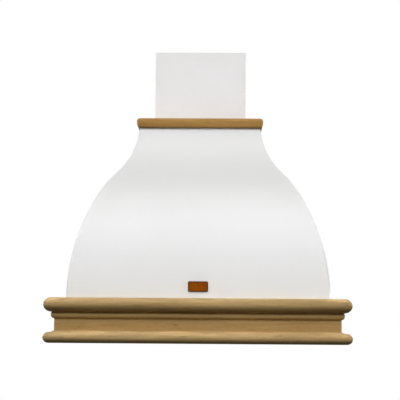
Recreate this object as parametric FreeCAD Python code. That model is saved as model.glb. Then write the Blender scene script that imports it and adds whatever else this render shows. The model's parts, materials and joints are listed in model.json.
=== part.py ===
import FreeCAD, Part
import math
import os

# A wall-hung kitchen hood: a white steel bell that flares from a square neck down to a
# mitred wooden cornice, with a wooden collar and a short steel chimney on top. Behind the
# underside panel are two grease filters, two lamps, five push buttons and a fan whose
# outlet goes up through a spigot with two non-return flaps.
#
# Millimetres. +X is to the right, +Y towards the wall, +Z up. The wall is the plane y = 0
# and the lower edge of the cornice is z = 0.

V = FreeCAD.Vector

# Cornice: three strips of moulding, one on another, mitred at both front corners
hood_width = 900.0             # over the rolls of the cornice
hood_depth = 500.0             # wall to the front roll
base_height = 37.0             # lowest strip
base_width = 50.0
base_roll = 16.0               # radius of the half-round edge
fascia_inset = 28.7            # from the rolls back to the flat face
fascia_height = 54.0
fascia_thickness = 22.0
ovolo_reach = 8.7              # the small round moulding at the top of the fascia
ovolo_rise = 11.0
ovolo_band = 6.0
quirk_height = 3.0             # groove between the ovolo and the crown strip
quirk_depth = 4.0
crown_height = 42.0            # highest strip
crown_width = 80.0
crown_over_radius = 21.0       # upper half of its roll
crown_under_radius = 30.0      # flatter lower half
block_leg = 34.0               # triangular glue block in each front corner

# Bell: painted sheet whose sides and front follow one law, three arcs each
body_inset = 59.0              # from the rolls back to the foot of the bell
body_height = 547.0
shoulder_rise = 343.6          # height of the long lower arc
hip_rise = 45.1                # height of the short arc above it
shoulder_slope = 30.6          # lean from the vertical where the arcs meet, degrees
hip_slope = 42.93
neck_slope = 5.0
neck_width = 383.2
neck_depth = 272.0
sheet = 1.5
rim_flange = 20.0              # inward flange at foot and neck
corner_notch = 3.0             # cut out of the flanges where two of them meet
rear_flange = 15.0
back_thickness = 1.5
seam = 0.2                     # gap left where two sheets or panels meet
wall_hole_radius = 4.5
wall_hole_spacing = 340.0
wall_hole_rise = 380.0
wall_hole_low = 220.0          # height of the lower pair

# Collar: wooden moulding round the chimney, on top of the bell
collar_reach = 55.0            # beyond the chimney
collar_height = 30.0
collar_round = 12.0
collar_undercut = 6.0
collar_fit = 0.4

# Chimney: folded cover, and an extension that slides up out of it
chimney_width = 292.0
chimney_depth = 230.0
chimney_height = 258.0
chimney_sheet = 1.0
chimney_bend = 2.0             # outside radius of the folds
chimney_lip = 26.0             # folded back along the wall
extension_drop = 3.0           # below the cover's top when it is slid in
extension_rest = 19.0          # its lower edge above the plate when it is slid in
extension_lip = 11.0
slide_gap = 0.5
bracket_thickness = 1.5
bracket_height = 40.0
bracket_drop = 60.0            # below the chimney's top
bracket_hole_spacing = 120.0

# Underside panel
tray_level = 20.0              # above the lower edge of the cornice
tray_sheet = 1.2
tray_rim = 14.0
tray_fit = 0.3

# Grease filters: hung at the back, held by a sliding latch at the front
filter_from_side = 172.0       # from the roll to the filter's outer edge
filter_from_front = 144.0      # from the front roll to the filter's front edge
filter_thickness = 9.0
filter_border = 12.0
filter_front_border = 28.0
filter_half_gap = 8.0          # from the hood's middle to each filter
filter_rear = 36.0             # from the wall
hinge_rise = 5.94              # of the hinge pins above the panel's face
filter_gap = 1.0               # to the edge of its opening
filter_swing_gap = 3.0         # the same behind the hinge, where the corner turns
mesh_thickness = 5.0
mesh_bite = 4.0                # how far the mesh sits in the frame's groove
mesh_slot_columns = 5
mesh_slot_rows = 7
mesh_slot_share = 0.62         # open part of each pitch
hinge_pin_radius = 2.0
hinge_pin_inset = 6.0          # from the filter's rear edge
hinge_pin_fit = 0.08
hinge_ear_height = 14.0
hinge_ear_length = 14.0
latch_width = 40.0
latch_length = 12.0
latch_travel = 7.0
latch_reach = 5.5              # of the tongue, past the filter's front edge
latch_tongue_width = 28.0
latch_tongue_thickness = 2.5
latch_wing = 3.0
latch_setback = 1.0            # of its block, behind the filter's front edge
latch_grip_rim = 2.0           # left in front of the finger groove and behind it
latch_fit = 0.3
latch_roof = 2.0

# Lamps
lamp_from_side = 115.0
lamp_from_front = 95.0
lamp_hole_radius = 29.0
lamp_flange_radius = 34.0
lamp_flange = 1.4
lamp_can_height = 26.0
lamp_wall = 1.5
lens_radius = 25.0
lens_thickness = 3.0
lens_ledge = 2.0               # of the housing, over the edge of the lens

# Push buttons in their housing, facing down
button_count = 5
button_pitch = 26.0
button_length = 20.0
button_width = 12.0
button_drop = 2.0              # below the housing's face
button_travel = 2.5
button_fit = 0.3
button_lip = 1.5
stem_radius = 3.0
stem_height = 6.0
housing_wall = 2.5
housing_height = 20.0
housing_from_front = 90.0      # its middle, from the front roll
face_drop = 1.5                # of the housing's face below the panel

# Fan: scroll with an inlet on both sides
duct_radius = 75.0             # outside of the outlet spigot
duct_wall = 1.5
duct_from_wall = 115.0
scroll_level = 470.0           # height of the fan's axis
scroll_gap = 12.0              # from the wheel to the first quarter of the scroll
scroll_step = 14.0             # growth from one quarter to the next
scroll_nose = 10.0
scroll_half_width = 80.0
scroll_sheet = 1.0
scroll_top = 600.0
inlet_radius = 66.0
inlet_lip = 8.0
wheel_radius = 80.0
wheel_inner = 67.0
wheel_end_gap = 9.0            # from the wheel to the scroll's side
wheel_ring = 3.0
wheel_ring_width = 7.0
wheel_disc = 2.0
blade_count = 24
blade_thickness = 0.9
blade_sag = 2.4                # how far each blade bows
blade_lead = 9.0               # of its outer edge ahead of its inner one, degrees
blade_inset = 0.5              # of its outer edge inside the rings
wheel_hub_radius = 12.0
wheel_hub_length = 16.0
shaft_radius = 4.0
shaft_fit = 0.08
motor_radius = 42.0
motor_length = 58.0
motor_end = 68.0               # from the fan's middle to the motor's outer end
motor_cap = 4.0                # depth of the cap at each end
motor_cap_radius = 20.0
spider_thickness = 2.5
spider_hub = 30.0
spider_arm = 16.0
spider_reach = 88.0
spider_boss = 14.0
adaptor_sleeve = 14.0
adaptor_fit = 0.3
adaptor_folds = 4              # flat folds in each corner, from the square to the round
flange_reach = 14.0            # of the round flanges beyond the duct

# Non-return flaps in the spigot
spigot_height = 62.0
flap_level = 22.0              # above the panel under the spigot
flap_thickness = 1.0
flap_gap = 1.6                 # to the spigot's wall
flap_pin_radius = 1.5
flap_pin_fit = 0.1
flap_pin_offset = 5.0          # of each pin from the duct's middle
flap_sleeve = 1.2
ledge_width = 5.0
ledge_thickness = 1.2
flap_rest = 0.3

# Electrics
box_width = 90.0
box_height = 110.0
box_depth = 40.0
box_offset = 190.0             # its middle, right of the hood's middle
box_level = 200.0
box_edge = 3.0                 # chamfer round its front
capacitor_radius = 16.0
capacitor_length = 62.0
capacitor_edge = 2.0
gland_offset = 112.0
gland_from_wall = 42.0
gland_radius = 8.0
gland_height = 18.0
gland_nut = 5.0                # height of its nuts, above and below the plate
gland_nut_radius = 12.0        # over their corners

# Plaque on the front of the bell, left bare
plaque_width = 60.0
plaque_height = 31.0
plaque_thickness = 2.2
plaque_rim = 3.0
plaque_recess = 0.7
plaque_corner = 4.0
plaque_level = 168.0

# Screws
screw_radius = 1.9
screw_length = 14.0
screw_head_radius = 4.0
screw_head = 2.4
screw_head_sides = 8
screw_shank_sides = 6
screw_fit = 0.15
duct_screw_length = 7.0

# Heights and half sizes that follow from the sizes above
half_width = hood_width / 2
cornice_top = base_height + fascia_height + crown_height
bell_top = cornice_top + body_height
foot_half = half_width - body_inset
foot_depth = hood_depth - body_inset
neck_half = neck_width / 2
neck_rise = body_height - shoulder_rise - hip_rise
plate_top = bell_top - sheet
plate_bottom = plate_top - sheet
flange_back = back_thickness + seam
chimney_half = chimney_width / 2
chimney_top = plate_top + chimney_height
extension_length = chimney_height - extension_drop - extension_rest
collar_half = chimney_half + collar_reach
collar_depth = chimney_depth + collar_reach
tray_top = tray_level + tray_sheet
tray_half = half_width - base_width - tray_fit
tray_depth = hood_depth - base_width - tray_fit
filter_width = half_width - filter_from_side - filter_half_gap
filter_length = hood_depth - filter_from_front - filter_rear
lamp_offset = half_width - lamp_from_side
scroll_start = wheel_radius + scroll_gap
wheel_half_length = scroll_half_width - wheel_end_gap
duct_inner = duct_radius - duct_wall
overrun = 5.0                  # extra length on bodies that are trimmed afterwards


def xz(u, v):
    return V(u, 0, v)


def yz(u, v):
    return V(0, u, v)


def xy(u, v):
    return V(u, v, 0)


def arc(centre, radius, start, end):
    """Middle and end point of an arc, from angle start to angle end in degrees."""
    def at(angle):
        turn = math.radians(angle)
        return (centre[0] + radius * math.cos(turn), centre[1] + radius * math.sin(turn))
    return at((start + end) / 2), at(end)


def outline(plane, first, *steps):
    """Closed wire: a step is the end of a line, or the middle and end of an arc."""
    edges = []
    last = plane(*first)
    for step in steps + (first,):
        if isinstance(step[0], tuple):
            middle = plane(*step[0])
            end = plane(*step[1])
            edges.append(Part.Arc(last, middle, end).toShape())
            last = end
        else:
            end = plane(*step)
            if end.distanceToPoint(last) > 1e-6:
                edges.append(Part.makeLine(last, end))
            last = end
    return Part.Wire(edges)


def prism(wire, direction, shift=V(0, 0, 0)):
    return Part.Face(wire).extrude(direction).translated(shift)


def box(x0, x1, y0, y1, z0, z1):
    return Part.makeBox(x1 - x0, y1 - y0, z1 - z0, V(x0, y0, z0))


def rod(radius, start, end):
    return Part.makeCylinder(radius, (end - start).Length, start, end - start)


def turned(first, *steps, centre=V(0, 0, 0), axis=V(0, 0, 1)):
    """Solid of revolution from an outline of (radius, height) about the given axis."""
    face = Part.Face(outline(xz, first, *steps))
    solid = face.revolve(V(0, 0, 0), V(0, 0, 1), 360)
    solid.Placement = FreeCAD.Placement(centre, FreeCAD.Rotation(V(0, 0, 1), axis))
    return solid


def mirrored(shape):
    return shape.mirror(V(0, 0, 0), V(1, 0, 0))


def fused(*shapes):
    return shapes[0].multiFuse(list(shapes[1:])).removeSplitter()


def round_radius(reach, rise):
    """Radius of the arc that leaves a face squarely and covers this reach and rise."""
    return (reach * reach + rise * rise) / (2 * reach)


def save(name, *solids):
    """Write one node: its solids, as one shape."""
    found = [solid for shape in solids for solid in shape.Solids]
    node = found[0] if len(found) == 1 else Part.makeCompound(found)
    node.exportStep("parts/" + name + ".step")


# ---------------------------------------------------------------- screws

screw_groups = {}


def bar(sides, radius, start, end):
    """Bar of so many flat sides between two points, with its corners at the radius."""
    corners = [arc((0, 0), radius, 0, 360 * side / sides)[1] for side in range(sides)]
    blank = prism(outline(xy, *corners), V(0, 0, (end - start).Length))
    blank.Placement = FreeCAD.Placement(start, FreeCAD.Rotation(V(0, 0, 1), end - start))
    return blank


def screw(group, seat, direction, length=screw_length):
    """Plain screw whose head sits on seat and whose shank points along direction."""
    way = V(direction).normalize()
    head = bar(screw_head_sides, screw_head_radius, seat - way * screw_head, seat)
    shank = bar(screw_shank_sides, screw_radius, seat - way * (screw_head / 2),
                seat + way * length)
    screw_groups.setdefault(group, []).append(fused(head, shank))


def screw_hole(seat, direction, length=screw_length):
    """Hole for that shank, with the same flat sides."""
    way = V(direction).normalize()
    return bar(screw_shank_sides, screw_radius + screw_fit, seat - way * overrun,
               seat + way * (length + screw_fit))


def drilled(shape, seats, direction, length=screw_length):
    for seat in seats:
        shape = shape.cut(screw_hole(seat, direction, length))
    return shape


# ---------------------------------------------------------------- mouldings

def mitre_region(side, half, depth, reach, low, high):
    """Plan area of the front or left run of a frame whose corner is mitred at 45 degrees."""
    out = overrun
    inner_x = half - reach
    inner_y = depth - reach
    if side == "front":
        corners = ((-half - out, -depth - out), (half + out, -depth - out),
                   (inner_x, -inner_y), (-inner_x, -inner_y))
    else:
        corners = ((-half - out, -depth - out), (-inner_x, -inner_y),
                   (-inner_x, 0), (-half - out, 0))
    return prism(outline(xy, *corners), V(0, 0, high - low), V(0, 0, low))


def mitred_strips(half, depth, reach, low, high, first, *steps):
    """Front, left and right run of one moulding, from its section in inset and height."""
    def front_plane(inset, height):
        return V(-half, inset - depth, height)

    def left_plane(inset, height):
        return V(inset - half, -depth, height)

    front = prism(outline(front_plane, first, *steps), V(2 * half, 0, 0))
    left = prism(outline(left_plane, first, *steps), V(0, depth, 0))
    front = front.common(mitre_region("front", half, depth, reach, low, high))
    left = left.common(mitre_region("left", half, depth, reach, low, high))
    return {"front": front, "left": left, "right": mirrored(left)}


def base_section():
    roll = 2 * base_roll
    cove_reach = base_height - roll
    cove = round_radius(cove_reach, fascia_inset - base_roll)
    turn = math.degrees(math.asin((fascia_inset - base_roll) / cove))
    return ((base_width, 0), (base_roll, 0),
            ((0, base_roll), (base_roll, roll)),
            arc((base_roll, roll + cove), cove, -90, turn - 90),
            (base_width, base_height))


def fascia_section():
    top = base_height + fascia_height
    band_top = top - quirk_height
    band_low = band_top - ovolo_band
    proud = fascia_inset - ovolo_reach
    bulge = round_radius(ovolo_reach, ovolo_rise)
    turn = math.degrees(math.asin(ovolo_rise / bulge))
    if bulge < ovolo_reach:
        turn = 180 - turn
    inner = fascia_inset + fascia_thickness
    return ((inner, base_height), (fascia_inset, base_height),
            (fascia_inset, band_low - ovolo_rise),
            arc((proud + bulge, band_low), bulge, 180 + turn, 180),
            (proud, band_top), (proud + quirk_depth, band_top),
            (proud + quirk_depth, top), (inner, top))


def crown_section():
    low = cornice_top - crown_height
    middle = cornice_top - crown_over_radius
    under = middle - low
    sweep = math.degrees(math.asin(under / crown_under_radius))
    toe = crown_under_radius * (1 - math.cos(math.radians(sweep)))
    return ((crown_width, low), (toe, low),
            arc((crown_under_radius, middle), crown_under_radius, 180 + sweep, 180),
            arc((crown_over_radius, middle), crown_over_radius, 180, 90),
            (crown_width, cornice_top))


def collar_section():
    width = collar_reach - collar_fit
    high = bell_top + collar_height
    middle = high - collar_round
    hollow = round_radius(collar_undercut, middle - bell_top)
    sweep = math.degrees(math.asin((middle - bell_top) / hollow))
    return ((width, bell_top), (collar_undercut, bell_top),
            arc((hollow, middle), hollow, 180 + sweep, 180),
            arc((collar_round, middle), collar_round, 180, 90),
            (width, high))


def foot_screw_seats():
    """Seats on the bell's lower flange: two in front and two along each side."""
    row = sheet + rim_flange / 2
    across = foot_half - row
    forward = -(foot_depth - row)
    high = cornice_top + sheet
    front = [V(side * foot_half / 2, forward, high) for side in (-1, 1)]
    sides = [V(side * across, -foot_depth * share, high)
             for side in (-1, 1) for share in (0.3, 0.7)]
    return front + sides


def tray_screw_seats():
    """Seats inside the panel's rim, on the left side and at the front."""
    high = tray_level + tray_rim * 0.6
    inside = tray_half - tray_sheet
    left = [V(-inside, -tray_depth * share, high) for share in (0.3, 0.7)]
    front = [V(side * tray_half / 2, -(tray_depth - tray_sheet), high) for side in (-1, 1)]
    return left, front


def make_cornice():
    left_seats, front_seats = tray_screw_seats()
    base = mitred_strips(half_width, hood_depth, base_width, 0, base_height, *base_section())
    base["left"] = drilled(base["left"], left_seats, V(-1, 0, 0))
    base["right"] = mirrored(base["left"])
    base["front"] = drilled(base["front"], front_seats, V(0, -1, 0))
    fascia_reach = fascia_inset + fascia_thickness
    fascia = mitred_strips(half_width, hood_depth, fascia_reach, base_height,
                           base_height + fascia_height, *fascia_section())
    crown = mitred_strips(half_width, hood_depth, crown_width, cornice_top - crown_height,
                          cornice_top, *crown_section())
    crown = {run: drilled(piece, foot_screw_seats(), V(0, 0, -1))
             for run, piece in crown.items()}
    for strip, pieces in (("base", base), ("fascia", fascia), ("crown", crown)):
        for run, piece in pieces.items():
            save("cornice_" + strip + "_" + run, piece)

    corner_x = -(half_width - fascia_reach)
    corner_y = -(hood_depth - fascia_reach)
    block = prism(outline(xy, (corner_x, corner_y), (corner_x + block_leg, corner_y),
                          (corner_x, corner_y + block_leg)),
                  V(0, 0, fascia_height), V(0, 0, base_height))
    save("cornice_corner_blocks", block, mirrored(block))

    way_out = (V(-1, 0, 0), V(1, 0, 0))
    for seat in left_seats:
        screw("wood_screws", seat, way_out[0])
        screw("wood_screws", V(-seat.x, seat.y, seat.z), way_out[1])
    for seat in front_seats:
        screw("wood_screws", seat, V(0, -1, 0))


# ---------------------------------------------------------------- bell

def bell_slopes(reach):
    """The three slopes, steepened or eased together until the bell covers this reach."""
    def slopes(factor):
        return [math.atan(factor * math.tan(math.radians(slope)))
                for slope in (shoulder_slope, hip_slope, neck_slope)]

    def covered(factor):
        low, middle, high = slopes(factor)
        return (shoulder_rise * math.tan(low / 2)
                + hip_rise * math.tan((low + middle) / 2)
                + neck_rise * math.tan((middle + high) / 2))

    small = 0.01
    large = 10.0
    for _ in range(60):
        trial = (small + large) / 2
        if covered(trial) < reach:
            small = trial
        else:
            large = trial
    return slopes(small)


def bell_curve(foot, neck, inward=0.0):
    """One side of the bell in (distance out, height): foot point, then its three arcs."""
    low, middle, high = bell_slopes(foot - neck)
    shoulder = shoulder_rise / math.sin(low)
    hip = hip_rise / (math.sin(middle) - math.sin(low))
    hollow = neck_rise / (math.sin(middle) - math.sin(high))

    def step(point, angle, distance):
        return (point[0] + distance * math.cos(angle), point[1] + distance * math.sin(angle))

    centre_low = (foot - shoulder, cornice_top)
    meet_low = step(centre_low, low, shoulder)
    centre_hip = step(meet_low, low, -hip)
    meet_hip = step(centre_hip, middle, hip)
    centre_high = step(meet_hip, middle, hollow)
    low, middle, high = (math.degrees(angle) for angle in (low, middle, high))
    return ((foot - inward, cornice_top),
            arc(centre_low, shoulder - inward, 0, low),
            arc(centre_hip, hip - inward, low, middle),
            arc(centre_high, hollow + inward, middle + 180, high + 180),
            step(arc(centre_high, hollow + inward, middle + 180, high + 180)[1],
                 math.radians(high + 90), overrun))


def flipped(step):
    """A step of an outline, mirrored to the other side."""
    if isinstance(step[0], tuple):
        return tuple(flipped(point) for point in step)
    return (-step[0], step[1])


def way_down(curve):
    """The steps of a bell curve in the other direction, from its top to its foot."""
    foot, low, hip, hollow, _ = curve
    return (hollow[1], (hollow[0], hip[1]), (hip[0], low[1]), (low[0], foot))


def sides_body(inward, back=0.0):
    """Everything between the bell's two sides, moved in by inward, up to its top."""
    curve = bell_curve(foot_half, neck_half, inward)
    left = [flipped(step) for step in way_down(curve)]
    wire = outline(xz, curve[0], *curve[1:], flipped(curve[-1]), *left)
    whole = prism(wire, V(0, -hood_depth, 0), V(0, -back, 0))
    return whole.cut(box(-half_width, half_width, -2 * hood_depth, overrun,
                         bell_top, bell_top + 3 * overrun))


def front_body(inward):
    """Everything behind the bell's front, moved back by inward, up to its top."""
    curve = [flipped(step) for step in bell_curve(foot_depth, neck_depth, inward)]
    wire = outline(yz, curve[0], *curve[1:], (overrun, bell_top + overrun),
                   (overrun, cornice_top))
    whole = prism(wire, V(hood_width, 0, 0), V(-half_width, 0, 0))
    return whole.cut(box(-hood_width, hood_width, -hood_depth, 2 * overrun,
                         bell_top, bell_top + 3 * overrun))


def flange_ring(side, inside, half, depth, low):
    """Inward flange of the front or left panel at one height, inside the sheet."""
    slab = inside.common(box(-half_width, half_width, -hood_depth, -flange_back,
                             low, low + sheet))
    hole = box(-(half - rim_flange), half - rim_flange, -(depth - rim_flange), overrun,
               low - overrun, low + sheet + overrun)
    slab = slab.cut(hole)
    for x in (-half, half):
        slab = slab.cut(box(x - corner_notch, x + corner_notch, -depth - corner_notch,
                            -depth + corner_notch, low - overrun, low + sheet + overrun))
    return slab.common(mitre_region(side, half, depth, rim_flange + overrun,
                                    low - overrun, low + sheet + overrun))


def rear_seats():
    """Screws from behind through the back plate into the side panels' rear flanges."""
    seats = []
    for height in (cornice_top + body_height * 0.15, cornice_top + body_height * 0.5,
                   cornice_top + body_height * 0.9):
        reach = bell_reach(height) - sheet - rear_flange / 2
        seats += [V(-reach, 0, height), V(reach, 0, height)]
    return seats


def bell_reach(height, foot=None, neck=None):
    """Half width of the bell at a height (or, with foot and neck, its depth)."""
    foot = foot_half if foot is None else foot
    neck = neck_half if neck is None else neck
    start, low, hip, hollow, end = bell_curve(foot, neck)
    wire = Part.Wire([Part.Arc(xz(*first), xz(*step[0]), xz(*step[1])).toShape()
                      for first, step in ((start, low), (low[1], hip), (hip[1], hollow))])
    level = Part.makeLine(V(0, 0, height), V(hood_width, 0, height))
    return wire.distToShape(level)[1][0][0].x


def collar_screw_seats():
    """Seats under the neck's flange, pointing up into the collar."""
    row = sheet + rim_flange / 2
    forward = -(neck_depth - row)
    across = neck_half - row
    points = [(-neck_half / 2, forward), (neck_half / 2, forward),
              (-across, -neck_depth / 2), (across, -neck_depth / 2)]
    return [V(x, y, plate_bottom) for x, y in points]


def duct_screw_seats():
    """Seats on the flange above the panel, round the spigot."""
    reach = duct_radius + flange_reach / 2
    points = [(reach * math.cos(math.radians(turn)), reach * math.sin(math.radians(turn)))
              for turn in (45, 135, 225, 315)]
    return [V(x, y - duct_from_wall, plate_top + sheet) for x, y in points]


def make_bell():
    sides_outer = sides_body(0)
    sides_inner = sides_body(sheet)
    front_outer = front_body(0)
    front_inner = front_body(sheet)
    outside = sides_outer.common(front_outer)
    inside = sides_inner.common(front_inner)

    foot = (foot_half - sheet, foot_depth - sheet, cornice_top)
    neck = (neck_half - sheet, neck_depth - sheet, bell_top - sheet)
    front_flanges = [flange_ring("front", inside, *level) for level in (foot, neck)]
    left_flanges = [flange_ring("left", inside, *level) for level in (foot, neck)]

    front = fused(outside.cut(front_inner), *front_flanges)
    left_half = box(-half_width, 0, -hood_depth, 0, 0, bell_top + overrun)
    behind = front_body(sheet + seam)
    left_sheet = outside.common(left_half).common(behind).cut(sides_inner)
    strip = sides_inner.cut(sides_body(sheet + rear_flange))
    strip = strip.common(box(-half_width, 0, -flange_back - sheet, -flange_back,
                             cornice_top, bell_top))
    left = fused(left_sheet, strip, *[flange.common(left_half) for flange in left_flanges])

    collar_seats = collar_screw_seats()
    front = drilled(drilled(front, foot_screw_seats(), V(0, 0, -1)), collar_seats, V(0, 0, 1))
    left = drilled(drilled(left, foot_screw_seats(), V(0, 0, -1)), collar_seats, V(0, 0, 1))
    left = drilled(left, rear_seats(), V(0, -1, 0))
    save("front_panel", front)
    save("side_panel_left", left)
    save("side_panel_right", mirrored(left))
    for seat in foot_screw_seats():
        screw("wood_screws", seat, V(0, 0, -1))


def wall_hole_points():
    return [(side * wall_hole_spacing / 2, height) for side in (-1, 1)
            for height in (wall_hole_low, wall_hole_low + wall_hole_rise)]


def make_back_plate():
    upper = sides_body(sheet + seam).common(
        box(-half_width, half_width, -back_thickness, 0, cornice_top + seam, bell_top))
    skirt_half = half_width - crown_width - 2 * seam
    skirt = box(-skirt_half, skirt_half, -back_thickness, 0, 0, cornice_top + sheet)
    plate = fused(upper, skirt)
    for x, height in wall_hole_points():
        plate = plate.cut(rod(wall_hole_radius, V(x, overrun, height), V(x, -overrun, height)))
    for seat in rear_seats():
        inner_seat = V(seat.x, -(flange_back + sheet), seat.z)
        plate = plate.cut(screw_hole(inner_seat, V(0, 1, 0), flange_back + sheet))
        screw("back_screws", inner_seat, V(0, 1, 0), flange_back + sheet)
    save("back_plate", plate)


def make_top_plate():
    across = neck_half - sheet - 2 * seam
    between = across - rear_flange
    behind = -flange_back - sheet
    plate = fused(
        box(-across, across, -(neck_depth - sheet - 2 * seam), behind - seam,
            plate_bottom, plate_top),
        box(-between, between, behind - seam, -flange_back, plate_bottom, plate_top),
        box(-between, between, behind, -flange_back, plate_bottom - rear_flange, plate_top))
    centre = V(0, -duct_from_wall, plate_bottom - overrun)
    plate = plate.cut(rod(duct_inner, centre, centre + V(0, 0, 3 * overrun)))
    gland = V(gland_offset, -gland_from_wall, plate_bottom - overrun)
    plate = plate.cut(rod(gland_radius + screw_fit, gland, gland + V(0, 0, 3 * overrun)))
    plate = drilled(plate, collar_screw_seats(), V(0, 0, 1))
    plate = drilled(plate, duct_screw_seats(), V(0, 0, -1))
    save("top_plate", plate)


def make_collar():
    strips = mitred_strips(collar_half, collar_depth, collar_reach - collar_fit, bell_top,
                           bell_top + collar_height, *collar_section())
    for run, piece in strips.items():
        save("collar_" + run, drilled(piece, collar_screw_seats(), V(0, 0, 1)))
    for seat in collar_screw_seats():
        screw("wood_screws", seat, V(0, 0, 1))


def make_plaque():
    """Flat plate with a raised rim, tangent to the bell's curved front."""
    depth = bell_reach(plaque_level, foot_depth, neck_depth)
    slope = bell_slopes(foot_depth - neck_depth)[0]
    shoulder = shoulder_rise / math.sin(slope)
    lean = math.degrees(math.asin((plaque_level - cornice_top) / shoulder))

    def plate(inset, front, back, corner):
        blank = box(-plaque_width / 2 + inset, plaque_width / 2 - inset, -front, -back,
                    -plaque_height / 2 + inset, plaque_height / 2 - inset)
        upright = [edge for edge in blank.Edges
                   if abs(edge.Vertexes[0].Y - edge.Vertexes[-1].Y) > plaque_recess / 2]
        return blank.makeFillet(corner, upright)

    whole = plate(0, plaque_thickness, 0, plaque_corner)
    hollow = plate(plaque_rim, plaque_thickness + 1, plaque_thickness - plaque_recess,
                   plaque_corner / 2)
    whole = whole.cut(hollow)
    whole.Placement = FreeCAD.Placement(V(0, -depth - seam / 2, plaque_level),
                                        FreeCAD.Rotation(V(1, 0, 0), -lean))
    save("plaque", whole)


# ---------------------------------------------------------------- chimney

def folded_channel(half, depth, back, thickness, lip, bend, low, high):
    """Sheet folded round the front and both sides, with lips turned in along the wall."""
    def block(inset, rear, radius):
        blank = box(-half + inset, half - inset, -depth + inset, -rear, low, high)
        upright = [edge for edge in blank.Edges
                   if abs(edge.Vertexes[0].Z - edge.Vertexes[-1].Z) > overrun]
        return blank.makeFillet(radius, upright)

    shell = block(0, back, bend).cut(block(thickness, back + thickness, bend - thickness))
    gap = box(-half + lip, half - lip, -back - 3 * bend, overrun, low - overrun, high + overrun)
    return shell.cut(gap)


def chimney_screw_seats():
    back = bracket_thickness + seam + chimney_sheet
    across = chimney_half - chimney_lip + screw_head_radius
    height = chimney_top - bracket_drop - bracket_height / 2
    return [V(side * across, -back, height) for side in (-1, 1)]


def make_chimney():
    back = bracket_thickness + seam
    cover = folded_channel(chimney_half, chimney_depth, back, chimney_sheet, chimney_lip,
                           chimney_bend, plate_top, chimney_top)
    length = back + chimney_sheet - screw_fit
    seats = chimney_screw_seats()
    save("chimney_cover", drilled(cover, seats, V(0, 1, 0), length))

    inset = chimney_sheet + slide_gap
    high = chimney_top - extension_drop
    extension = folded_channel(chimney_half - inset, chimney_depth - inset, back + inset,
                               chimney_sheet, extension_lip, chimney_bend,
                               high - extension_length, high)
    save("chimney_extension", extension)

    top = chimney_top - bracket_drop
    half = chimney_half - 2 * chimney_sheet - slide_gap
    bracket = box(-half, half, -bracket_thickness, 0, top - bracket_height, top)
    middle = top - bracket_height / 2
    for side in (-1, 1):
        x = side * bracket_hole_spacing / 2
        bracket = bracket.cut(rod(wall_hole_radius, V(x, overrun, middle),
                                  V(x, -overrun, middle)))
    save("chimney_bracket", drilled(bracket, seats, V(0, 1, 0), length))
    for seat in seats:
        screw("chimney_screws", seat, V(0, 1, 0), length)


# ---------------------------------------------------------------- underside panel

def filter_frame_box():
    """Left filter: x0, x1, front, rear."""
    rear = -filter_rear
    return -filter_half_gap - filter_width, -filter_half_gap, rear - filter_length, rear


def hinge_centre():
    return V(0, -filter_rear - hinge_pin_inset, tray_level + hinge_rise)


def lamp_centre():
    return V(-lamp_offset, -(hood_depth - lamp_from_front), tray_level)


def housing_middle():
    return -(hood_depth - housing_from_front)


def button_places():
    first = -(button_count - 1) / 2
    return [(first + number) * button_pitch for number in range(button_count)]


def housing_half_sizes():
    last = (button_count - 1) * button_pitch / 2
    half_x = last + button_length / 2 + button_lip + 2 * housing_wall
    half_y = button_width / 2 + button_lip + 2 * housing_wall
    return half_x, half_y


def make_tray():
    half = tray_half
    low = tray_level
    panel = box(-half, half, -tray_depth, -flange_back, low, low + tray_rim)
    hollow = box(-half + tray_sheet, half - tray_sheet, -tray_depth + tray_sheet,
                 -flange_back - tray_sheet, tray_top, low + tray_rim + 1)
    panel = panel.cut(hollow)

    x0, x1, front, rear = filter_frame_box()
    opening = box(x0 - filter_gap, x1 + filter_gap, front - filter_gap,
                  rear + filter_swing_gap, low - 1, low + tray_rim)
    panel = panel.cut(opening).cut(mirrored(opening))

    hinge = hinge_centre()
    ears = []
    for edge, way in ((x0 - filter_gap, -1), (x1 + filter_gap, 1)):
        near, far = sorted((edge, edge + way * tray_sheet))
        ear = box(near, far, hinge.y - hinge_ear_length / 2, hinge.y + hinge_ear_length / 2,
                  low, low + hinge_ear_height)
        hole = rod(hinge_pin_radius + hinge_pin_fit, V(near - 1, hinge.y, hinge.z),
                   V(far + 1, hinge.y, hinge.z))
        ears += [ear.cut(hole), mirrored(ear.cut(hole))]
    panel = fused(panel, *ears)

    lamp = lamp_centre()
    hole = rod(lamp_hole_radius + tray_fit, lamp - V(0, 0, 1), lamp + V(0, 0, tray_rim))
    panel = panel.cut(hole).cut(mirrored(hole))

    half_x, half_y = housing_half_sizes()
    slot_x = half_x - housing_wall + tray_fit
    slot_y = half_y - housing_wall + tray_fit
    middle = housing_middle()
    panel = panel.cut(box(-slot_x, slot_x, middle - slot_y, middle + slot_y,
                          low - 1, low + tray_rim))
    left_seats, front_seats = tray_screw_seats()
    panel = drilled(panel, left_seats, V(-1, 0, 0))
    panel = drilled(panel, [V(-seat.x, seat.y, seat.z) for seat in left_seats], V(1, 0, 0))
    panel = drilled(panel, front_seats, V(0, -1, 0))
    save("underside_panel", panel)


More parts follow.
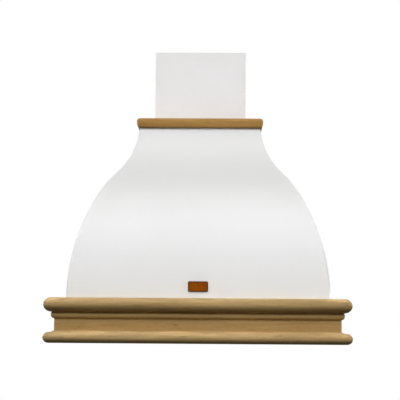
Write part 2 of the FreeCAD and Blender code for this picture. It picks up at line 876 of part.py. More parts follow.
def make_filters():
    x0, x1, front, rear = filter_frame_box()
    low = tray_level
    high = low + filter_thickness
    window = (x0 + filter_border, x1 - filter_border,
              front + filter_front_border, rear - filter_border)
    mesh_low = low + (filter_thickness - mesh_thickness) / 2
    bite = mesh_bite
    frame = box(x0, x1, front, rear, low, high)
    frame = frame.cut(box(*window, low - 1, high + 1))
    frame = frame.cut(box(window[0] - bite, window[1] + bite, window[2] - bite,
                          window[3] + bite, mesh_low - seam, mesh_low + mesh_thickness + seam))

    middle = (x0 + x1) / 2
    tongue_low = tray_top + latch_fit
    block_half = latch_width / 2
    block_front = front + latch_setback
    block_rear = block_front + latch_length
    pocket_rear = block_rear + latch_travel + latch_fit
    roof = high - latch_roof
    wing_low = (low + roof) / 2 - latch_wing / 3
    wing_high = wing_low + latch_wing * 2 / 3
    wing = block_half + latch_wing
    frame = frame.cut(box(middle - block_half - latch_fit, middle + block_half + latch_fit,
                          front - 1, pocket_rear, low - 1, roof))
    frame = frame.cut(box(middle - wing - latch_fit, middle + wing + latch_fit,
                          block_front - latch_fit, pocket_rear,
                          wing_low - latch_fit, wing_high + latch_fit))

    hinge = hinge_centre()
    pin_reach = filter_gap + tray_sheet + hinge_pin_radius / 2
    pins = [rod(hinge_pin_radius, V(x0 - pin_reach, hinge.y, hinge.z),
                V(x0 + filter_border / 2, hinge.y, hinge.z)),
            rod(hinge_pin_radius, V(x1 - filter_border / 2, hinge.y, hinge.z),
                V(x1 + pin_reach, hinge.y, hinge.z))]
    frame = fused(frame, *pins)

    mesh = box(window[0] - bite + seam, window[1] + bite - seam, window[2] - bite + seam,
               window[3] + bite - seam, mesh_low, mesh_low + mesh_thickness)
    pitch_x = (window[1] - window[0]) / mesh_slot_columns
    pitch_y = (window[3] - window[2]) / mesh_slot_rows
    slots = []
    for column in range(mesh_slot_columns):
        for row in range(mesh_slot_rows):
            centre_x = window[0] + (column + 0.5) * pitch_x
            centre_y = window[2] + (row + 0.5) * pitch_y
            reach_x = pitch_x * mesh_slot_share / 2
            reach_y = pitch_y * mesh_slot_share / 2
            diamond = outline(xy, (centre_x - reach_x, centre_y), (centre_x, centre_y - reach_y),
                              (centre_x + reach_x, centre_y), (centre_x, centre_y + reach_y))
            slots.append(prism(diamond, V(0, 0, filter_thickness), V(0, 0, low)))
    mesh = mesh.cut(Part.makeCompound(slots))

    latch = fused(
        box(middle - block_half, middle + block_half, block_front, block_rear,
            low + latch_fit, roof - latch_fit),
        box(middle - wing, middle + wing, block_front, block_rear, wing_low, wing_high),
        box(middle - latch_tongue_width / 2, middle + latch_tongue_width / 2,
            front - latch_reach, block_front, tongue_low, tongue_low + latch_tongue_thickness))
    grip = box(middle - latch_tongue_width / 2, middle + latch_tongue_width / 2,
               block_front + latch_grip_rim, block_rear - latch_grip_rim, low,
               low + latch_tongue_thickness)
    latch = latch.cut(grip)

    for node, shape in (("filter_frame", frame), ("filter_mesh", mesh), ("filter_latch", latch)):
        save(node + "_left", shape)
        save(node + "_right", mirrored(shape))


def make_lamps():
    centre = lamp_centre()
    outer = lamp_hole_radius
    inner = outer - lamp_wall
    high = lamp_can_height
    seat = lens_thickness
    housing = turned((lens_radius + tray_fit, -lamp_flange), (lamp_flange_radius, -lamp_flange),
                     (lamp_flange_radius, 0), (outer, 0), (outer, high), (0, high),
                     (0, high - lamp_wall), (inner, high - lamp_wall), (inner, seat + tray_fit),
                     (lens_radius - lens_ledge, seat + tray_fit), (lens_radius - lens_ledge, seat),
                     (lens_radius + tray_fit, seat), centre=centre)
    lens = turned((0, -lamp_flange), (lens_radius - lens_ledge, -lamp_flange),
                  (lens_radius, lens_thickness / 3),
                  (lens_radius, seat - seam), (0, seat - seam), centre=centre)
    for node, shape in (("lamp_housing", housing), ("lamp_lens", lens)):
        save(node + "_left", shape)
        save(node + "_right", mirrored(shape))


def make_controls():
    half_x, half_y = housing_half_sizes()
    middle = housing_middle()
    face = tray_level - face_drop
    floor = tray_top + housing_wall / 2
    top = tray_top + housing_height
    body = box(-half_x, half_x, middle - half_y, middle + half_y, tray_top, top)
    boss = box(-half_x + housing_wall, half_x - housing_wall, middle - half_y + housing_wall,
               middle + half_y - housing_wall, face, tray_top)
    room = box(-half_x + housing_wall, half_x - housing_wall, middle - half_y + housing_wall,
               middle + half_y - housing_wall, floor, top - housing_wall)
    housing = fused(body, boss).cut(room)
    names = ("off", "speed_1", "speed_2", "speed_3", "light")
    for number, x in enumerate(button_places()):
        reach_x = button_length / 2
        reach_y = button_width / 2
        hole = box(x - reach_x - button_fit, x + reach_x + button_fit,
                   middle - reach_y - button_fit, middle + reach_y + button_fit,
                   face - 1, floor + 1)
        housing = housing.cut(hole)
        lip = floor + button_fit / 3
        cap = box(x - reach_x, x + reach_x, middle - reach_y, middle + reach_y,
                  face - button_drop, lip)
        rounded = [edge for edge in cap.Edges if edge.BoundBox.ZMax < face - button_drop + 0.1]
        cap = cap.makeChamfer(button_drop / 3, rounded)
        flange = box(x - reach_x - button_lip, x + reach_x + button_lip,
                     middle - reach_y - button_lip, middle + reach_y + button_lip,
                     lip, lip + button_lip)
        stem = rod(stem_radius, V(x, middle, lip), V(x, middle, lip + button_lip + stem_height))
        name = names[number] if number < len(names) else "extra_" + str(number)
        save("button_" + name, fused(cap, flange, stem))
    save("control_housing", housing)


# ---------------------------------------------------------------- fan

def scroll_values():
    """Rotor centre and the centres of the scroll's three quarter arcs, in (y, z)."""
    channel = scroll_step / 2 + scroll_start + 2 * scroll_step
    inner_wall = scroll_nose - scroll_step / 2
    rotor = -duct_from_wall - (channel + inner_wall) / 2
    first = (rotor - scroll_step / 2, scroll_level)
    second = (rotor + scroll_step / 2, scroll_level)
    third = (rotor + scroll_step / 2, scroll_level + scroll_step)
    return rotor, first, second, third


def scroll_path(outward):
    """Steps round the scroll from the front of the outlet to its rear, moved out."""
    _, first, second, third = scroll_values()
    front_wall = first[0] + scroll_nose
    nose = (front_wall - scroll_nose, scroll_level + scroll_start + scroll_nose)
    rear_wall = third[0] + scroll_start + 2 * scroll_step
    return ((front_wall - outward, scroll_top),
            (front_wall - outward, nose[1]),
            arc(nose, scroll_nose - outward, 0, -90),
            arc(first, scroll_start + outward, 90, 180),
            arc(second, scroll_start + scroll_step + outward, 180, 270),
            arc(third, scroll_start + 2 * scroll_step + outward, 270, 360),
            (rear_wall + outward, scroll_top))


def outlet_walls():
    """Front and rear of the outlet channel, inside."""
    path = scroll_path(0)
    return path[0][0], path[-1][0]


def spider_screw_seats():
    rotor = scroll_values()[0]
    reach = spider_reach - spider_arm / 2
    x = -(scroll_half_width + scroll_sheet + spider_thickness)
    return [V(x, rotor + reach * math.cos(math.radians(turn)),
              scroll_level + reach * math.sin(math.radians(turn)))
            for turn in (90, 210, 330)]


def make_scroll():
    half = scroll_half_width
    outer = prism(outline(yz, *scroll_path(scroll_sheet)), V(2 * half, 0, 0), V(-half, 0, 0))
    inner = prism(outline(yz, *scroll_path(0)), V(2 * half, 0, 0), V(-half, 0, 0))
    save("fan_scroll", outer.cut(inner))

    rotor = scroll_values()[0]
    left = prism(outline(yz, *scroll_path(scroll_sheet)), V(-scroll_sheet, 0, 0), V(-half, 0, 0))
    mouth = inlet_radius + inlet_lip
    left = left.cut(rod(mouth, V(-half - overrun, rotor, scroll_level),
                        V(-half + overrun, rotor, scroll_level)))
    thin = scroll_sheet
    lip = turned((mouth, 0), (mouth, thin), (inlet_radius + thin, inlet_lip + thin),
                 (inlet_radius, inlet_lip + thin), (mouth - thin, 0),
                 centre=V(-half - thin, rotor, scroll_level), axis=V(1, 0, 0))
    left = fused(left, lip)
    save("fan_side_right", mirrored(left))
    save("fan_side_left", drilled(left, spider_screw_seats(), V(1, 0, 0), 2 * duct_screw_length))


def flat_face(*corners):
    """Plane face from its corners, in order."""
    points = [V(*corner) for corner in corners]
    return Part.Face(Part.makePolygon(points + [points[0]]))


def square_to_round(half, front, rear, low, radius, high):
    """Solid from a rectangle up to a round neck: flat triangles, folded in the corners."""
    corners = [(half, rear, low), (-half, rear, low), (-half, front, low), (half, front, low)]
    count = 4 * adaptor_folds
    ring = [(radius * math.cos(2 * math.pi * number / count),
             -duct_from_wall + radius * math.sin(2 * math.pi * number / count), high)
            for number in range(count + 1)]
    faces = [flat_face(*corners), flat_face(*ring[:-1])]
    for number, corner in enumerate(corners):
        folds = ring[number * adaptor_folds:(number + 1) * adaptor_folds + 1]
        faces += [flat_face(corner, start, end) for start, end in zip(folds, folds[1:])]
        faces.append(flat_face(corner, corners[(number + 1) % 4], folds[-1]))
    solid = Part.makeSolid(Part.makeShell(faces))
    if solid.Volume < 0:
        solid.reverse()
    return solid


def make_adaptor():
    """Sleeve over the scroll's outlet that is folded into the round of the duct."""
    front, rear = outlet_walls()
    gap = scroll_sheet + adaptor_fit
    low = scroll_top - adaptor_sleeve
    half = scroll_half_width + gap
    neck = plate_bottom - scroll_sheet
    thin = scroll_sheet
    outer = square_to_round(half + thin, front - gap - thin, rear + gap + thin, scroll_top,
                            duct_inner, neck)
    inner = square_to_round(half, front - gap, rear + gap, scroll_top, duct_inner - thin, neck)
    sleeve = box(-half - thin, half + thin, front - gap - thin, rear + gap + thin,
                 low, scroll_top)
    sleeve_hole = box(-half, half, front - gap, rear + gap, low - 1, scroll_top + 1)
    centre = V(0, -duct_from_wall, neck)
    flange = rod(duct_radius + flange_reach, centre, centre + V(0, 0, thin))
    neck_hole = max(inner.Faces, key=lambda face: face.CenterOfMass.z).extrude(V(0, 0, thin))
    adaptor = fused(outer.cut(inner), sleeve.cut(sleeve_hole), flange.cut(neck_hole))
    save("outlet_adaptor", drilled(adaptor, duct_screw_seats(), V(0, 0, -1)))


def blade(x0, x1, rotor):
    """One forward-curved blade: a strip folded once between the inner and outer radius."""
    lead = math.radians(blade_lead)
    outer = wheel_radius - blade_inset
    start = (wheel_inner, 0)
    end = (outer * math.cos(lead), outer * math.sin(lead))
    span = math.hypot(end[0] - start[0], end[1] - start[1])
    across = ((start[1] - end[1]) / span, (end[0] - start[0]) / span)

    def off(point, distance):
        return (point[0] - across[0] * distance, point[1] - across[1] * distance)

    middle = ((start[0] + end[0]) / 2, (start[1] + end[1]) / 2)
    wire = outline(yz, start, off(middle, blade_sag), end, off(end, blade_thickness),
                   off(middle, blade_sag + blade_thickness), off(start, blade_thickness))
    return prism(wire, V(x1 - x0, 0, 0), V(x0, rotor, scroll_level))


def make_fan():
    rotor = scroll_values()[0]
    axis = V(1, 0, 0)
    middle = V(0, rotor, scroll_level)
    end = wheel_half_length
    disc = motor_length - motor_end + wheel_disc
    blades = []
    for x0, x1 in ((-end + wheel_ring, disc), (disc + wheel_disc, end - wheel_ring)):
        for number in range(blade_count):
            one = blade(x0, x1, rotor)
            one.rotate(middle, axis, 360.0 * number / blade_count)
            blades.append(one)
    save("fan_blades", *blades)

    def band(x0, x1, outer, inner):
        ring = rod(outer, V(x0, rotor, scroll_level), V(x1, rotor, scroll_level))
        return ring.cut(rod(inner, V(x0 - 1, rotor, scroll_level), V(x1 + 1, rotor, scroll_level)))

    ring_inner = wheel_radius - wheel_ring_width
    save("fan_rings", band(-end, -end + wheel_ring, wheel_radius, ring_inner),
         band(end - wheel_ring, end, wheel_radius, ring_inner))
    hub_end = disc + wheel_hub_length
    hub_bore = shaft_radius + shaft_fit / 2
    save("fan_hub", fused(band(disc, disc + wheel_disc, wheel_radius, hub_bore),
                          band(disc, hub_end, wheel_hub_radius, hub_bore)))

    outer_end = -motor_end
    shaft = rod(shaft_radius, V(outer_end - spider_boss / 4, rotor, scroll_level),
                V(hub_end + wheel_disc, rotor, scroll_level))
    save("motor_shaft", shaft)

    bore = shaft_radius + shaft_fit
    motor = turned((bore, 0), (motor_cap_radius, 0), (motor_cap_radius, motor_cap),
                   (motor_radius, motor_cap), (motor_radius, motor_length - motor_cap),
                   (motor_cap_radius, motor_length - motor_cap),
                   (motor_cap_radius, motor_length), (bore, motor_length),
                   centre=V(outer_end, rotor, scroll_level), axis=axis)
    save("motor", motor)

    outside = -(scroll_half_width + scroll_sheet)
    spider_x = outside - spider_thickness
    spider = [rod(spider_hub, V(spider_x, rotor, scroll_level), V(outside, rotor, scroll_level)),
              rod(spider_boss, V(outside, rotor, scroll_level),
                  V(outer_end, rotor, scroll_level))]
    for turn in (0, 120, 240):
        arm = box(spider_x, outside, rotor - spider_arm / 2, rotor + spider_arm / 2,
                  scroll_level, scroll_level + spider_reach)
        arm.rotate(middle, axis, turn)
        spider.append(arm)
    spider = fused(*spider).cut(rod(shaft_radius * 2, V(spider_x - 1, rotor, scroll_level),
                                    V(outer_end + 1, rotor, scroll_level)))
    seats = spider_screw_seats()
    save("motor_spider", drilled(spider, seats, V(1, 0, 0)))
    for seat in seats:
        screw("sheet_screws", seat, V(1, 0, 0), duct_screw_length)


# ---------------------------------------------------------------- outlet

def make_spigot():
    centre = V(0, -duct_from_wall, plate_top)
    outer = duct_radius
    inner = duct_inner
    ledge = flap_level - flap_rest - ledge_thickness
    spigot = turned((inner, 0), (outer + flange_reach, 0), (outer + flange_reach, sheet),
                    (outer, sheet), (outer, spigot_height), (inner, spigot_height),
                    (inner, ledge + ledge_thickness), (inner - ledge_width, ledge + ledge_thickness),
                    (inner - ledge_width, ledge), (inner, ledge), centre=centre)
    level = plate_top + flap_level + flap_thickness / 2
    pins = []
    for way in (-1, 1):
        y = -duct_from_wall + way * flap_pin_offset
        reach = math.sqrt(outer * outer - flap_pin_offset * flap_pin_offset)
        pins.append(rod(flap_pin_radius, V(-reach, y, level), V(reach, y, level)))
        hole = rod(flap_pin_radius + screw_fit, V(-outer - 1, y, level), V(outer + 1, y, level))
        spigot = spigot.cut(hole)
    save("outlet_spigot", drilled(spigot, duct_screw_seats(), V(0, 0, -1)))
    save("flap_pins", *pins)
    for seat in duct_screw_seats():
        screw("sheet_screws", seat, V(0, 0, -1), duct_screw_length)

    radius = inner - flap_gap
    sleeve = flap_pin_radius + flap_pin_fit + flap_sleeve
    y = -duct_from_wall - flap_pin_offset
    disc = rod(radius, centre + V(0, 0, flap_level), centre + V(0, 0, flap_level + flap_thickness))
    half_disc = disc.common(box(-outer, outer, -hood_depth, y, plate_top, chimney_top))
    reach = math.sqrt(radius * radius - (flap_pin_offset + sleeve) ** 2) - ledge_width
    knuckle = rod(sleeve, V(-reach, y, level), V(reach, y, level))
    front = fused(half_disc, knuckle)
    front = front.cut(rod(flap_pin_radius + flap_pin_fit, V(-outer, y, level), V(outer, y, level)))
    rear = front.mirror(V(0, -duct_from_wall, 0), V(0, 1, 0))
    save("flap_front", front)
    save("flap_rear", rear)


def make_electrics():
    rear = -back_thickness
    case = box(box_offset - box_width / 2, box_offset + box_width / 2, rear - box_depth, rear,
               box_level, box_level + box_height)
    soft = [edge for edge in case.Edges if edge.BoundBox.YMin < rear - box_depth / 2]
    save("electrics_box", case.makeChamfer(box_edge, soft))

    centre = V(-box_offset, rear, box_level + box_height / 2)
    edge = capacitor_edge
    capacitor = turned((0, 0), (capacitor_radius, 0),
                       (capacitor_radius, capacitor_length - edge),
                       (capacitor_radius - edge, capacitor_length), (0, capacitor_length),
                       centre=centre, axis=V(0, -1, 0))
    save("capacitor", capacitor)

    seat = V(gland_offset, -gland_from_wall, plate_top)
    edge = gland_radius / 3

    def nut(start, end):
        corners = [arc((0, 0), gland_nut_radius, 0, 60 * side)[1] for side in range(6)]
        return prism(outline(xy, *corners), V(0, 0, end - start), seat + V(0, 0, start))

    stem = turned((0, -sheet - gland_nut), (gland_radius, -sheet - gland_nut),
                  (gland_radius, gland_height - edge), (gland_radius - edge, gland_height),
                  (0, gland_height), centre=seat)
    save("cable_gland", fused(stem, nut(-sheet - gland_nut, -sheet), nut(0, gland_nut)))


def main():
    os.makedirs("parts", exist_ok=True)
    make_cornice()
    make_bell()
    make_back_plate()
    make_top_plate()
    make_collar()
    make_plaque()
    make_chimney()
    make_tray()
    make_filters()
    make_lamps()
    make_controls()
    make_scroll()
    make_adaptor()
    make_fan()
    make_spigot()
    make_electrics()
    for group, screws in screw_groups.items():
        save(group, *screws)


main()
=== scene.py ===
import bmesh
import bpy
import json
import math
from mathutils import Matrix, Vector

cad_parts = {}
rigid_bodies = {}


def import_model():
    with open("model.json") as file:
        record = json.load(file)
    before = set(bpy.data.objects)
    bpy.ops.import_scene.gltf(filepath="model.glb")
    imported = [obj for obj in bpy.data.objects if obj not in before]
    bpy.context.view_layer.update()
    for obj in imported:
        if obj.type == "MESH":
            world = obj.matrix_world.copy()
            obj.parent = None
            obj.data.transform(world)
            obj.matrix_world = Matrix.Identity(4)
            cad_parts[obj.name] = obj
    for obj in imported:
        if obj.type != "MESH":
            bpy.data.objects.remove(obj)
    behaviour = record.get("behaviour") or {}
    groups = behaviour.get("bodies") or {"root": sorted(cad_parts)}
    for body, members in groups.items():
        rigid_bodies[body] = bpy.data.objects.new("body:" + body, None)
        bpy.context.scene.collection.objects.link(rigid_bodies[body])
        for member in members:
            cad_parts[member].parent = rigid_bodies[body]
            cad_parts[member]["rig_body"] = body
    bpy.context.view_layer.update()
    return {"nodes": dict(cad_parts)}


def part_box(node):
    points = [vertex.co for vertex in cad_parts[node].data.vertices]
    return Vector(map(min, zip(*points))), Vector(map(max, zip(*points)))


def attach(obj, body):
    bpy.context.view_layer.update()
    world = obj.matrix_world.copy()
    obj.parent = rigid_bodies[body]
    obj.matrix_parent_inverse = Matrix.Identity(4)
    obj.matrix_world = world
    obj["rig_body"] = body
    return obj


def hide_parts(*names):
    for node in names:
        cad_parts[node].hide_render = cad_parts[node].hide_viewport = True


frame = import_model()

# A wall-hung range hood: white enamelled bell and chimney, a mitred beech cornice and a
# beech collar, with filters, lamps and buttons underneath and a fan inside.
# Metres. +X is to the right, +Y towards the wall, +Z up. The wall is the plane y = 0.

# Places that follow from the frame
foot_corner, top_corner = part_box("front_panel")
foot_level = foot_corner.z
bell_top = top_corner.z
foot_half = top_corner.x
foot_depth = -foot_corner.y
base_corner, base_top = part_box("cornice_base_front")
hood_half = base_top.x
hood_depth = -base_corner.y
base_height = base_top.z
fascia_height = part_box("cornice_fascia_front")[1].z - base_height
collar_corner, collar_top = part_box("collar_front")
collar_half = collar_top.x
collar_depth = -collar_corner.y

# Bell: each side curves in three arcs in line, the shoulder, the hip and the neck. The slopes
# are their leans from upright at the top, in degrees, before bell_slopes fits them.
shoulder_rise = 0.3436
hip_rise = 0.0451
neck_rise = bell_top - foot_level - shoulder_rise - hip_rise
shoulder_slope = 30.6
hip_slope = 42.93
neck_slope = 5.0
neck_half = 0.1916
neck_depth = 0.272
sheet = 0.0015
rim_flange = 0.020
rear_flange = 0.015
rear_gap = 0.0017              # from the wall to the rear flanges
hip_round = 0.0035             # soft edge where the front meets each side
hip_return = 0.006             # where the front sheet ends on the side
hairline = 0.00015             # left between two sheets

# Mouldings
base_width = 0.050
base_roll = 0.016
fascia_inset = 0.0287
fascia_thickness = 0.022
ovolo_reach = 0.0087
ovolo_rise = 0.011
ovolo_band = 0.006
quirk_height = 0.003
quirk_depth = 0.0015
crown_width = 0.080
crown_over = 0.021
crown_under = 0.0195
collar_width = 0.0546
collar_round = 0.012
collar_undercut = 0.0035
arris = 0.0004                 # sanded edges of the wood

# Chimney
chimney_sheet = 0.001
chimney_fold = 0.002           # radius of its folded corners
cover_lip = 0.026
extension_lip = 0.011
cut_edge = 0.00015             # broken edges of the sheet

# Plaque
plaque_width = 0.060
plaque_height = 0.031
plaque_thickness = 0.0022
plaque_rim = 0.0030
plaque_recess = 0.0008
plaque_corner = 0.004
plaque_inner_corner = 0.0006   # the least radius inside the rim
plaque_edge = 0.0005           # rounding of the rim
plaque_gap = 0.0001            # left between the plaque and the bell

# Filter mesh
strand_half_pitch = 0.0055
strand_row_pitch = 0.0029
strand_width = 0.0008
strand_thickness = 0.0006
strand_margin = 0.0012         # from the edge of the mesh to its outermost strands
strand_layers = ((0.0011, 0.0), (0.0024, 0.5), (0.0038, 0.25))     # level, shift in rows

# Fan wheel, along the X axis
blade_count = 24
blade_inner = 0.067            # radius of the blades' inner edges
blade_clear = 0.0005           # from their outer edges to the rings' outside
blade_lead = 9.0               # degrees by which the outer edges lead
blade_bow = 0.0024
blade_thickness = 0.0009
end_ring = 0.003
end_ring_width = 0.007
disc_low = -0.008
disc_high = -0.006
hub_end = 0.008
hub_radius = 0.012
hub_bore = 0.00404
wheel_edge = 0.0002            # broken edges of the rings and the hub

# Screws
screw_head = 0.0024
screw_head_radius = 0.0039
screw_head_wall = 0.45         # share of the head's height below its dome
screw_radius = 0.0018
screw_tip = 0.6                # the tip's radius, as a share of the shank's
cross_length = 0.0034
cross_width = 0.0008
cross_height = 0.0016          # half of it lies in the head

# Stage
floor_level = -4.0             # low, so that the underside can be seen
floor_radius = 12.0
floor_seen = 0.85              # how pale the floor looks
floor_glow = 0.50              # brightness that it shows but doesn't throw
floor_thrown = 0.06            # how much of the light it throws back on the hood

# Steps along curves and runs
shoulder_rows = 56
hip_rows = 16
neck_rows = 44
front_columns = 12
side_columns = 10
fold_steps = 6
run_steps = 8
base_roll_steps = 32
cove_steps = 8
ovolo_steps = 14
crown_under_steps = 24
crown_over_steps = 18
collar_under_steps = 12
collar_over_steps = 16
plaque_steps = 8
blade_steps = 8
dome_steps = 6
screw_sides = 14
wheel_sides = 96
floor_sides = 96

smooth_angle = 35.0            # edges that turn by more, in degrees, stay sharp
joined_within = 1e-6           # points nearer than this are one
flat_within = 0.6              # faces that differ by less, in degrees, are one


# ---- finishes

class Finish:
    """A material made of nodes. Every pattern reads the piece's own Object coordinates."""

    def __init__(self, name, color, roughness, metallic=0.0, **constants):
        self.material = bpy.data.materials.new(name)
        self.material.use_nodes = True
        self.tree = self.material.node_tree
        self.shader = self.tree.nodes["Principled BSDF"]
        self.shader.inputs["Base Color"].default_value = (*color, 1)
        self.shader.inputs["Roughness"].default_value = roughness
        self.shader.inputs["Metallic"].default_value = metallic
        for setting, value in constants.items():
            socket = setting.replace("_", " ").title().replace("Ior", "IOR")
            self.shader.inputs[socket].default_value = value
        self.place = self.node("ShaderNodeTexCoord").outputs["Object"]

    def node(self, kind, **inputs):
        node = self.tree.nodes.new(kind)
        for name, value in inputs.items():
            self.put(node.inputs[name.replace("_", " ")], value)
        return node

    def put(self, socket, value):
        if isinstance(value, bpy.types.NodeSocket):
            self.tree.links.new(value, socket)
        else:
            socket.default_value = value

    def noise(self, grain, detail=3.0, roughness=0.55, distortion=0.0, shift=(0, 0, 0)):
        """Noise with this many waves per metre along X, Y and Z."""
        mapping = self.node("ShaderNodeMapping", Vector=self.place, Scale=grain, Location=shift)
        return self.node("ShaderNodeTexNoise", Vector=mapping.outputs["Vector"], Scale=1.0,
                         Detail=detail, Roughness=roughness,
                         Distortion=distortion).outputs["Fac"]

    def levels(self, value, low, high, to_low=0.0, to_high=1.0):
        node = self.node("ShaderNodeMapRange", Value=value)
        for name, number in (("From Min", low), ("From Max", high),
                             ("To Min", to_low), ("To Max", to_high)):
            node.inputs[name].default_value = number
        return node.outputs["Result"]

    def spread(self, noise, to_low=0.0, to_high=1.0):
        """The middle of a noise's range, where nearly all of it lies, between these limits."""
        return self.levels(noise, 0.3, 0.7, to_low, to_high)

    def mixed(self, factor, first, second):
        node = self.tree.nodes.new("ShaderNodeMix")
        node.data_type = "RGBA"
        self.put(node.inputs[0], factor)
        self.put(node.inputs[6], (*first, 1) if isinstance(first, tuple) else first)
        self.put(node.inputs[7], (*second, 1) if isinstance(second, tuple) else second)
        return node.outputs[2]

    def added(self, first, second, way="ADD"):
        """The two values added, or put through another operation."""
        node = self.tree.nodes.new("ShaderNodeMath")
        node.operation = way
        self.put(node.inputs[0], first)
        self.put(node.inputs[1], second)
        return node.outputs[0]

    def colored(self, color):
        self.put(self.shader.inputs["Base Color"], color)

    def rough(self, value):
        self.put(self.shader.inputs["Roughness"], value)

    def bumped(self, height, distance, strength=1.0):
        bump = self.node("ShaderNodeBump", Height=height, Strength=strength, Distance=distance)
        self.put(self.shader.inputs["Normal"], bump.outputs["Normal"])


def enamel():
    """Satin white lacquer on steel: a faint orange peel and hardly any change of tone."""
    white = Finish("white enamel", (0.80, 0.80, 0.80), 0.42, coat_weight=0.15, coat_roughness=0.25)
    drift = white.noise((3, 3, 3), detail=2.0)
    white.colored(white.mixed(white.spread(drift), (0.806, 0.804, 0.798),
                              (0.822, 0.822, 0.820)))
    white.rough(white.spread(white.noise((9, 9, 9), detail=4.0), 0.38, 0.46))
    white.bumped(white.noise((420, 420, 420), detail=1.0), 0.00004, 0.5)
    return white.material


def beech(name, along, light, dark, fleck, shift):
    """Planed beech whose grain runs along X, Y or Z, with short dark flecks."""
    wood = Finish(name, light, 0.6, specular_ior_level=0.2)

    def grain(length, width):
        return tuple(length if axis == along else width for axis in "XYZ")

    board = wood.noise(grain(2.2, 9), detail=2.0, distortion=0.6, shift=shift)
    bands = wood.noise(grain(3.5, 90), detail=4.0, roughness=0.65, distortion=0.9, shift=shift)
    fibres = wood.noise(grain(16, 800), detail=3.0, roughness=0.65, shift=shift)
    marks = wood.noise(grain(19, 150), detail=2.0, distortion=0.4, shift=shift)
    rays = wood.noise(grain(70, 520), detail=1.0, shift=shift)
    tone = wood.added(wood.levels(board, 0.32, 0.68, 0.0, 0.36),
                      wood.levels(bands, 0.35, 0.65, 0.0, 0.50))
    tone = wood.added(tone, wood.spread(fibres, -0.12, 0.24))
    color = wood.mixed(tone, light, dark)
    spots = wood.added(wood.added(wood.levels(rays, 0.66, 0.74), 0.40, "MULTIPLY"),
                       wood.added(wood.levels(marks, 0.63, 0.78), 0.55, "MULTIPLY"))
    color = wood.mixed(spots, color, fleck)
    wood.colored(color)
    wood.rough(wood.spread(fibres, 0.54, 0.70))
    wood.bumped(wood.added(fibres, spots, "SUBTRACT"), 0.00012, 0.6)
    return wood.material


def brushed(name, color, along, roughness=0.34, metallic=1.0):
    """Brushed or rolled sheet with fine scratches along one axis."""
    metal = Finish(name, color, roughness, metallic)
    scratches = metal.noise(tuple(12 if axis == along else 1500 for axis in "XYZ"), detail=2.0)
    patches = metal.noise((7, 7, 7), detail=3.0)
    darker = tuple(channel * 0.82 for channel in color)
    metal.colored(metal.mixed(metal.spread(patches), darker, color))
    metal.rough(metal.spread(scratches, roughness - 0.07, roughness + 0.09))
    metal.bumped(scratches, 0.00003, 0.4)
    return metal.material


def spangled():
    """Zinc-coated sheet with its crystal spangle."""
    zinc = Finish("zinc sheet", (0.60, 0.61, 0.62), 0.42, 1.0)
    mapping = zinc.node("ShaderNodeMapping", Vector=zinc.place, Scale=(170, 170, 170))
    cells = zinc.node("ShaderNodeTexVoronoi", Vector=mapping.outputs["Vector"], Scale=1.0)
    tone = zinc.node("ShaderNodeSeparateColor", Color=cells.outputs["Color"]).outputs["Red"]
    zinc.colored(zinc.mixed(tone, (0.565, 0.575, 0.585), (0.635, 0.645, 0.655)))
    zinc.rough(zinc.levels(tone, 0.0, 1.0, 0.38, 0.48))
    zinc.bumped(zinc.noise((300, 300, 300)), 0.00004, 0.4)
    return zinc.material


def moulded(name, color, roughness, grain=2600.0):
    """Moulded plastic with a fine eroded texture."""
    plastic = Finish(name, color, roughness)
    worn = plastic.noise((14, 14, 14), detail=3.0)
    lighter = tuple(min(1.0, channel * 1.35 + 0.004) for channel in color)
    plastic.colored(plastic.mixed(plastic.levels(worn, 0.35, 0.75), color, lighter))
    plastic.rough(plastic.spread(worn, roughness - 0.06, roughness + 0.06))
    plastic.bumped(plastic.noise((grain, grain, grain), detail=1.0), 0.00005, 0.5)
    return plastic.material


def patina():
    """The bare plaque: brown patina with lighter brushed bronze showing through."""
    bronze = Finish("dark bronze", (0.22, 0.055, 0.003), 0.42, 1.0)
    cloud = bronze.noise((160, 160, 160), detail=5.0, roughness=0.65)
    streaks = bronze.noise((60, 900, 900), detail=2.0)
    tone = bronze.added(bronze.levels(cloud, 0.35, 0.65, 0.0, 0.6),
                        bronze.spread(streaks, 0.0, 0.4))
    bronze.colored(bronze.mixed(tone, (0.225, 0.060, 0.004), (0.140, 0.033, 0.002)))
    bronze.rough(bronze.spread(cloud, 0.36, 0.52))
    bronze.bumped(cloud, 0.00006, 0.5)
    return bronze.material


def dark_rim():
    """The plaque's raised rim, blackened, with bronze showing where it is worn."""
    rim = Finish("blackened rim", (0.035, 0.010, 0.002), 0.5, 1.0)
    wear = rim.noise((240, 240, 240), detail=3.0)
    rim.colored(rim.mixed(rim.levels(wear, 0.45, 0.75), (0.030, 0.009, 0.002),
                          (0.075, 0.026, 0.006)))
    rim.bumped(wear, 0.00004, 0.5)
    return rim.material


def chrome():
    """Bright plate of the lamp housings, with a slight haze."""
    bright = Finish("bright chrome", (0.72, 0.73, 0.74), 0.12, 1.0)
    bright.rough(bright.spread(bright.noise((60, 60, 60)), 0.08, 0.17))
    bright.bumped(bright.noise((500, 500, 500), detail=1.0), 0.00001, 0.3)
    return bright.material


def frosted():
    """Pressed glass of the lamps, sand-blasted inside."""
    glass = Finish("frosted glass", (0.86, 0.87, 0.86), 0.35, transmission_weight=0.35, ior=1.48)
    haze = glass.noise((900, 900, 900), detail=2.0)
    glass.rough(glass.spread(haze, 0.28, 0.45))
    glass.bumped(haze, 0.00003, 0.4)
    return glass.material


def zinc_plated():
    """Bluish and yellowish zinc coat of the screws, the pins and the shaft."""
    screw = Finish("zinc plated screw", (0.60, 0.58, 0.52), 0.30, 1.0)
    tint = screw.noise((400, 400, 400), detail=2.0)
    screw.colored(screw.mixed(screw.levels(tint, 0.35, 0.65), (0.62, 0.60, 0.55),
                              (0.50, 0.51, 0.54)))
    screw.bumped(tint, 0.00002, 0.4)
    return screw.material


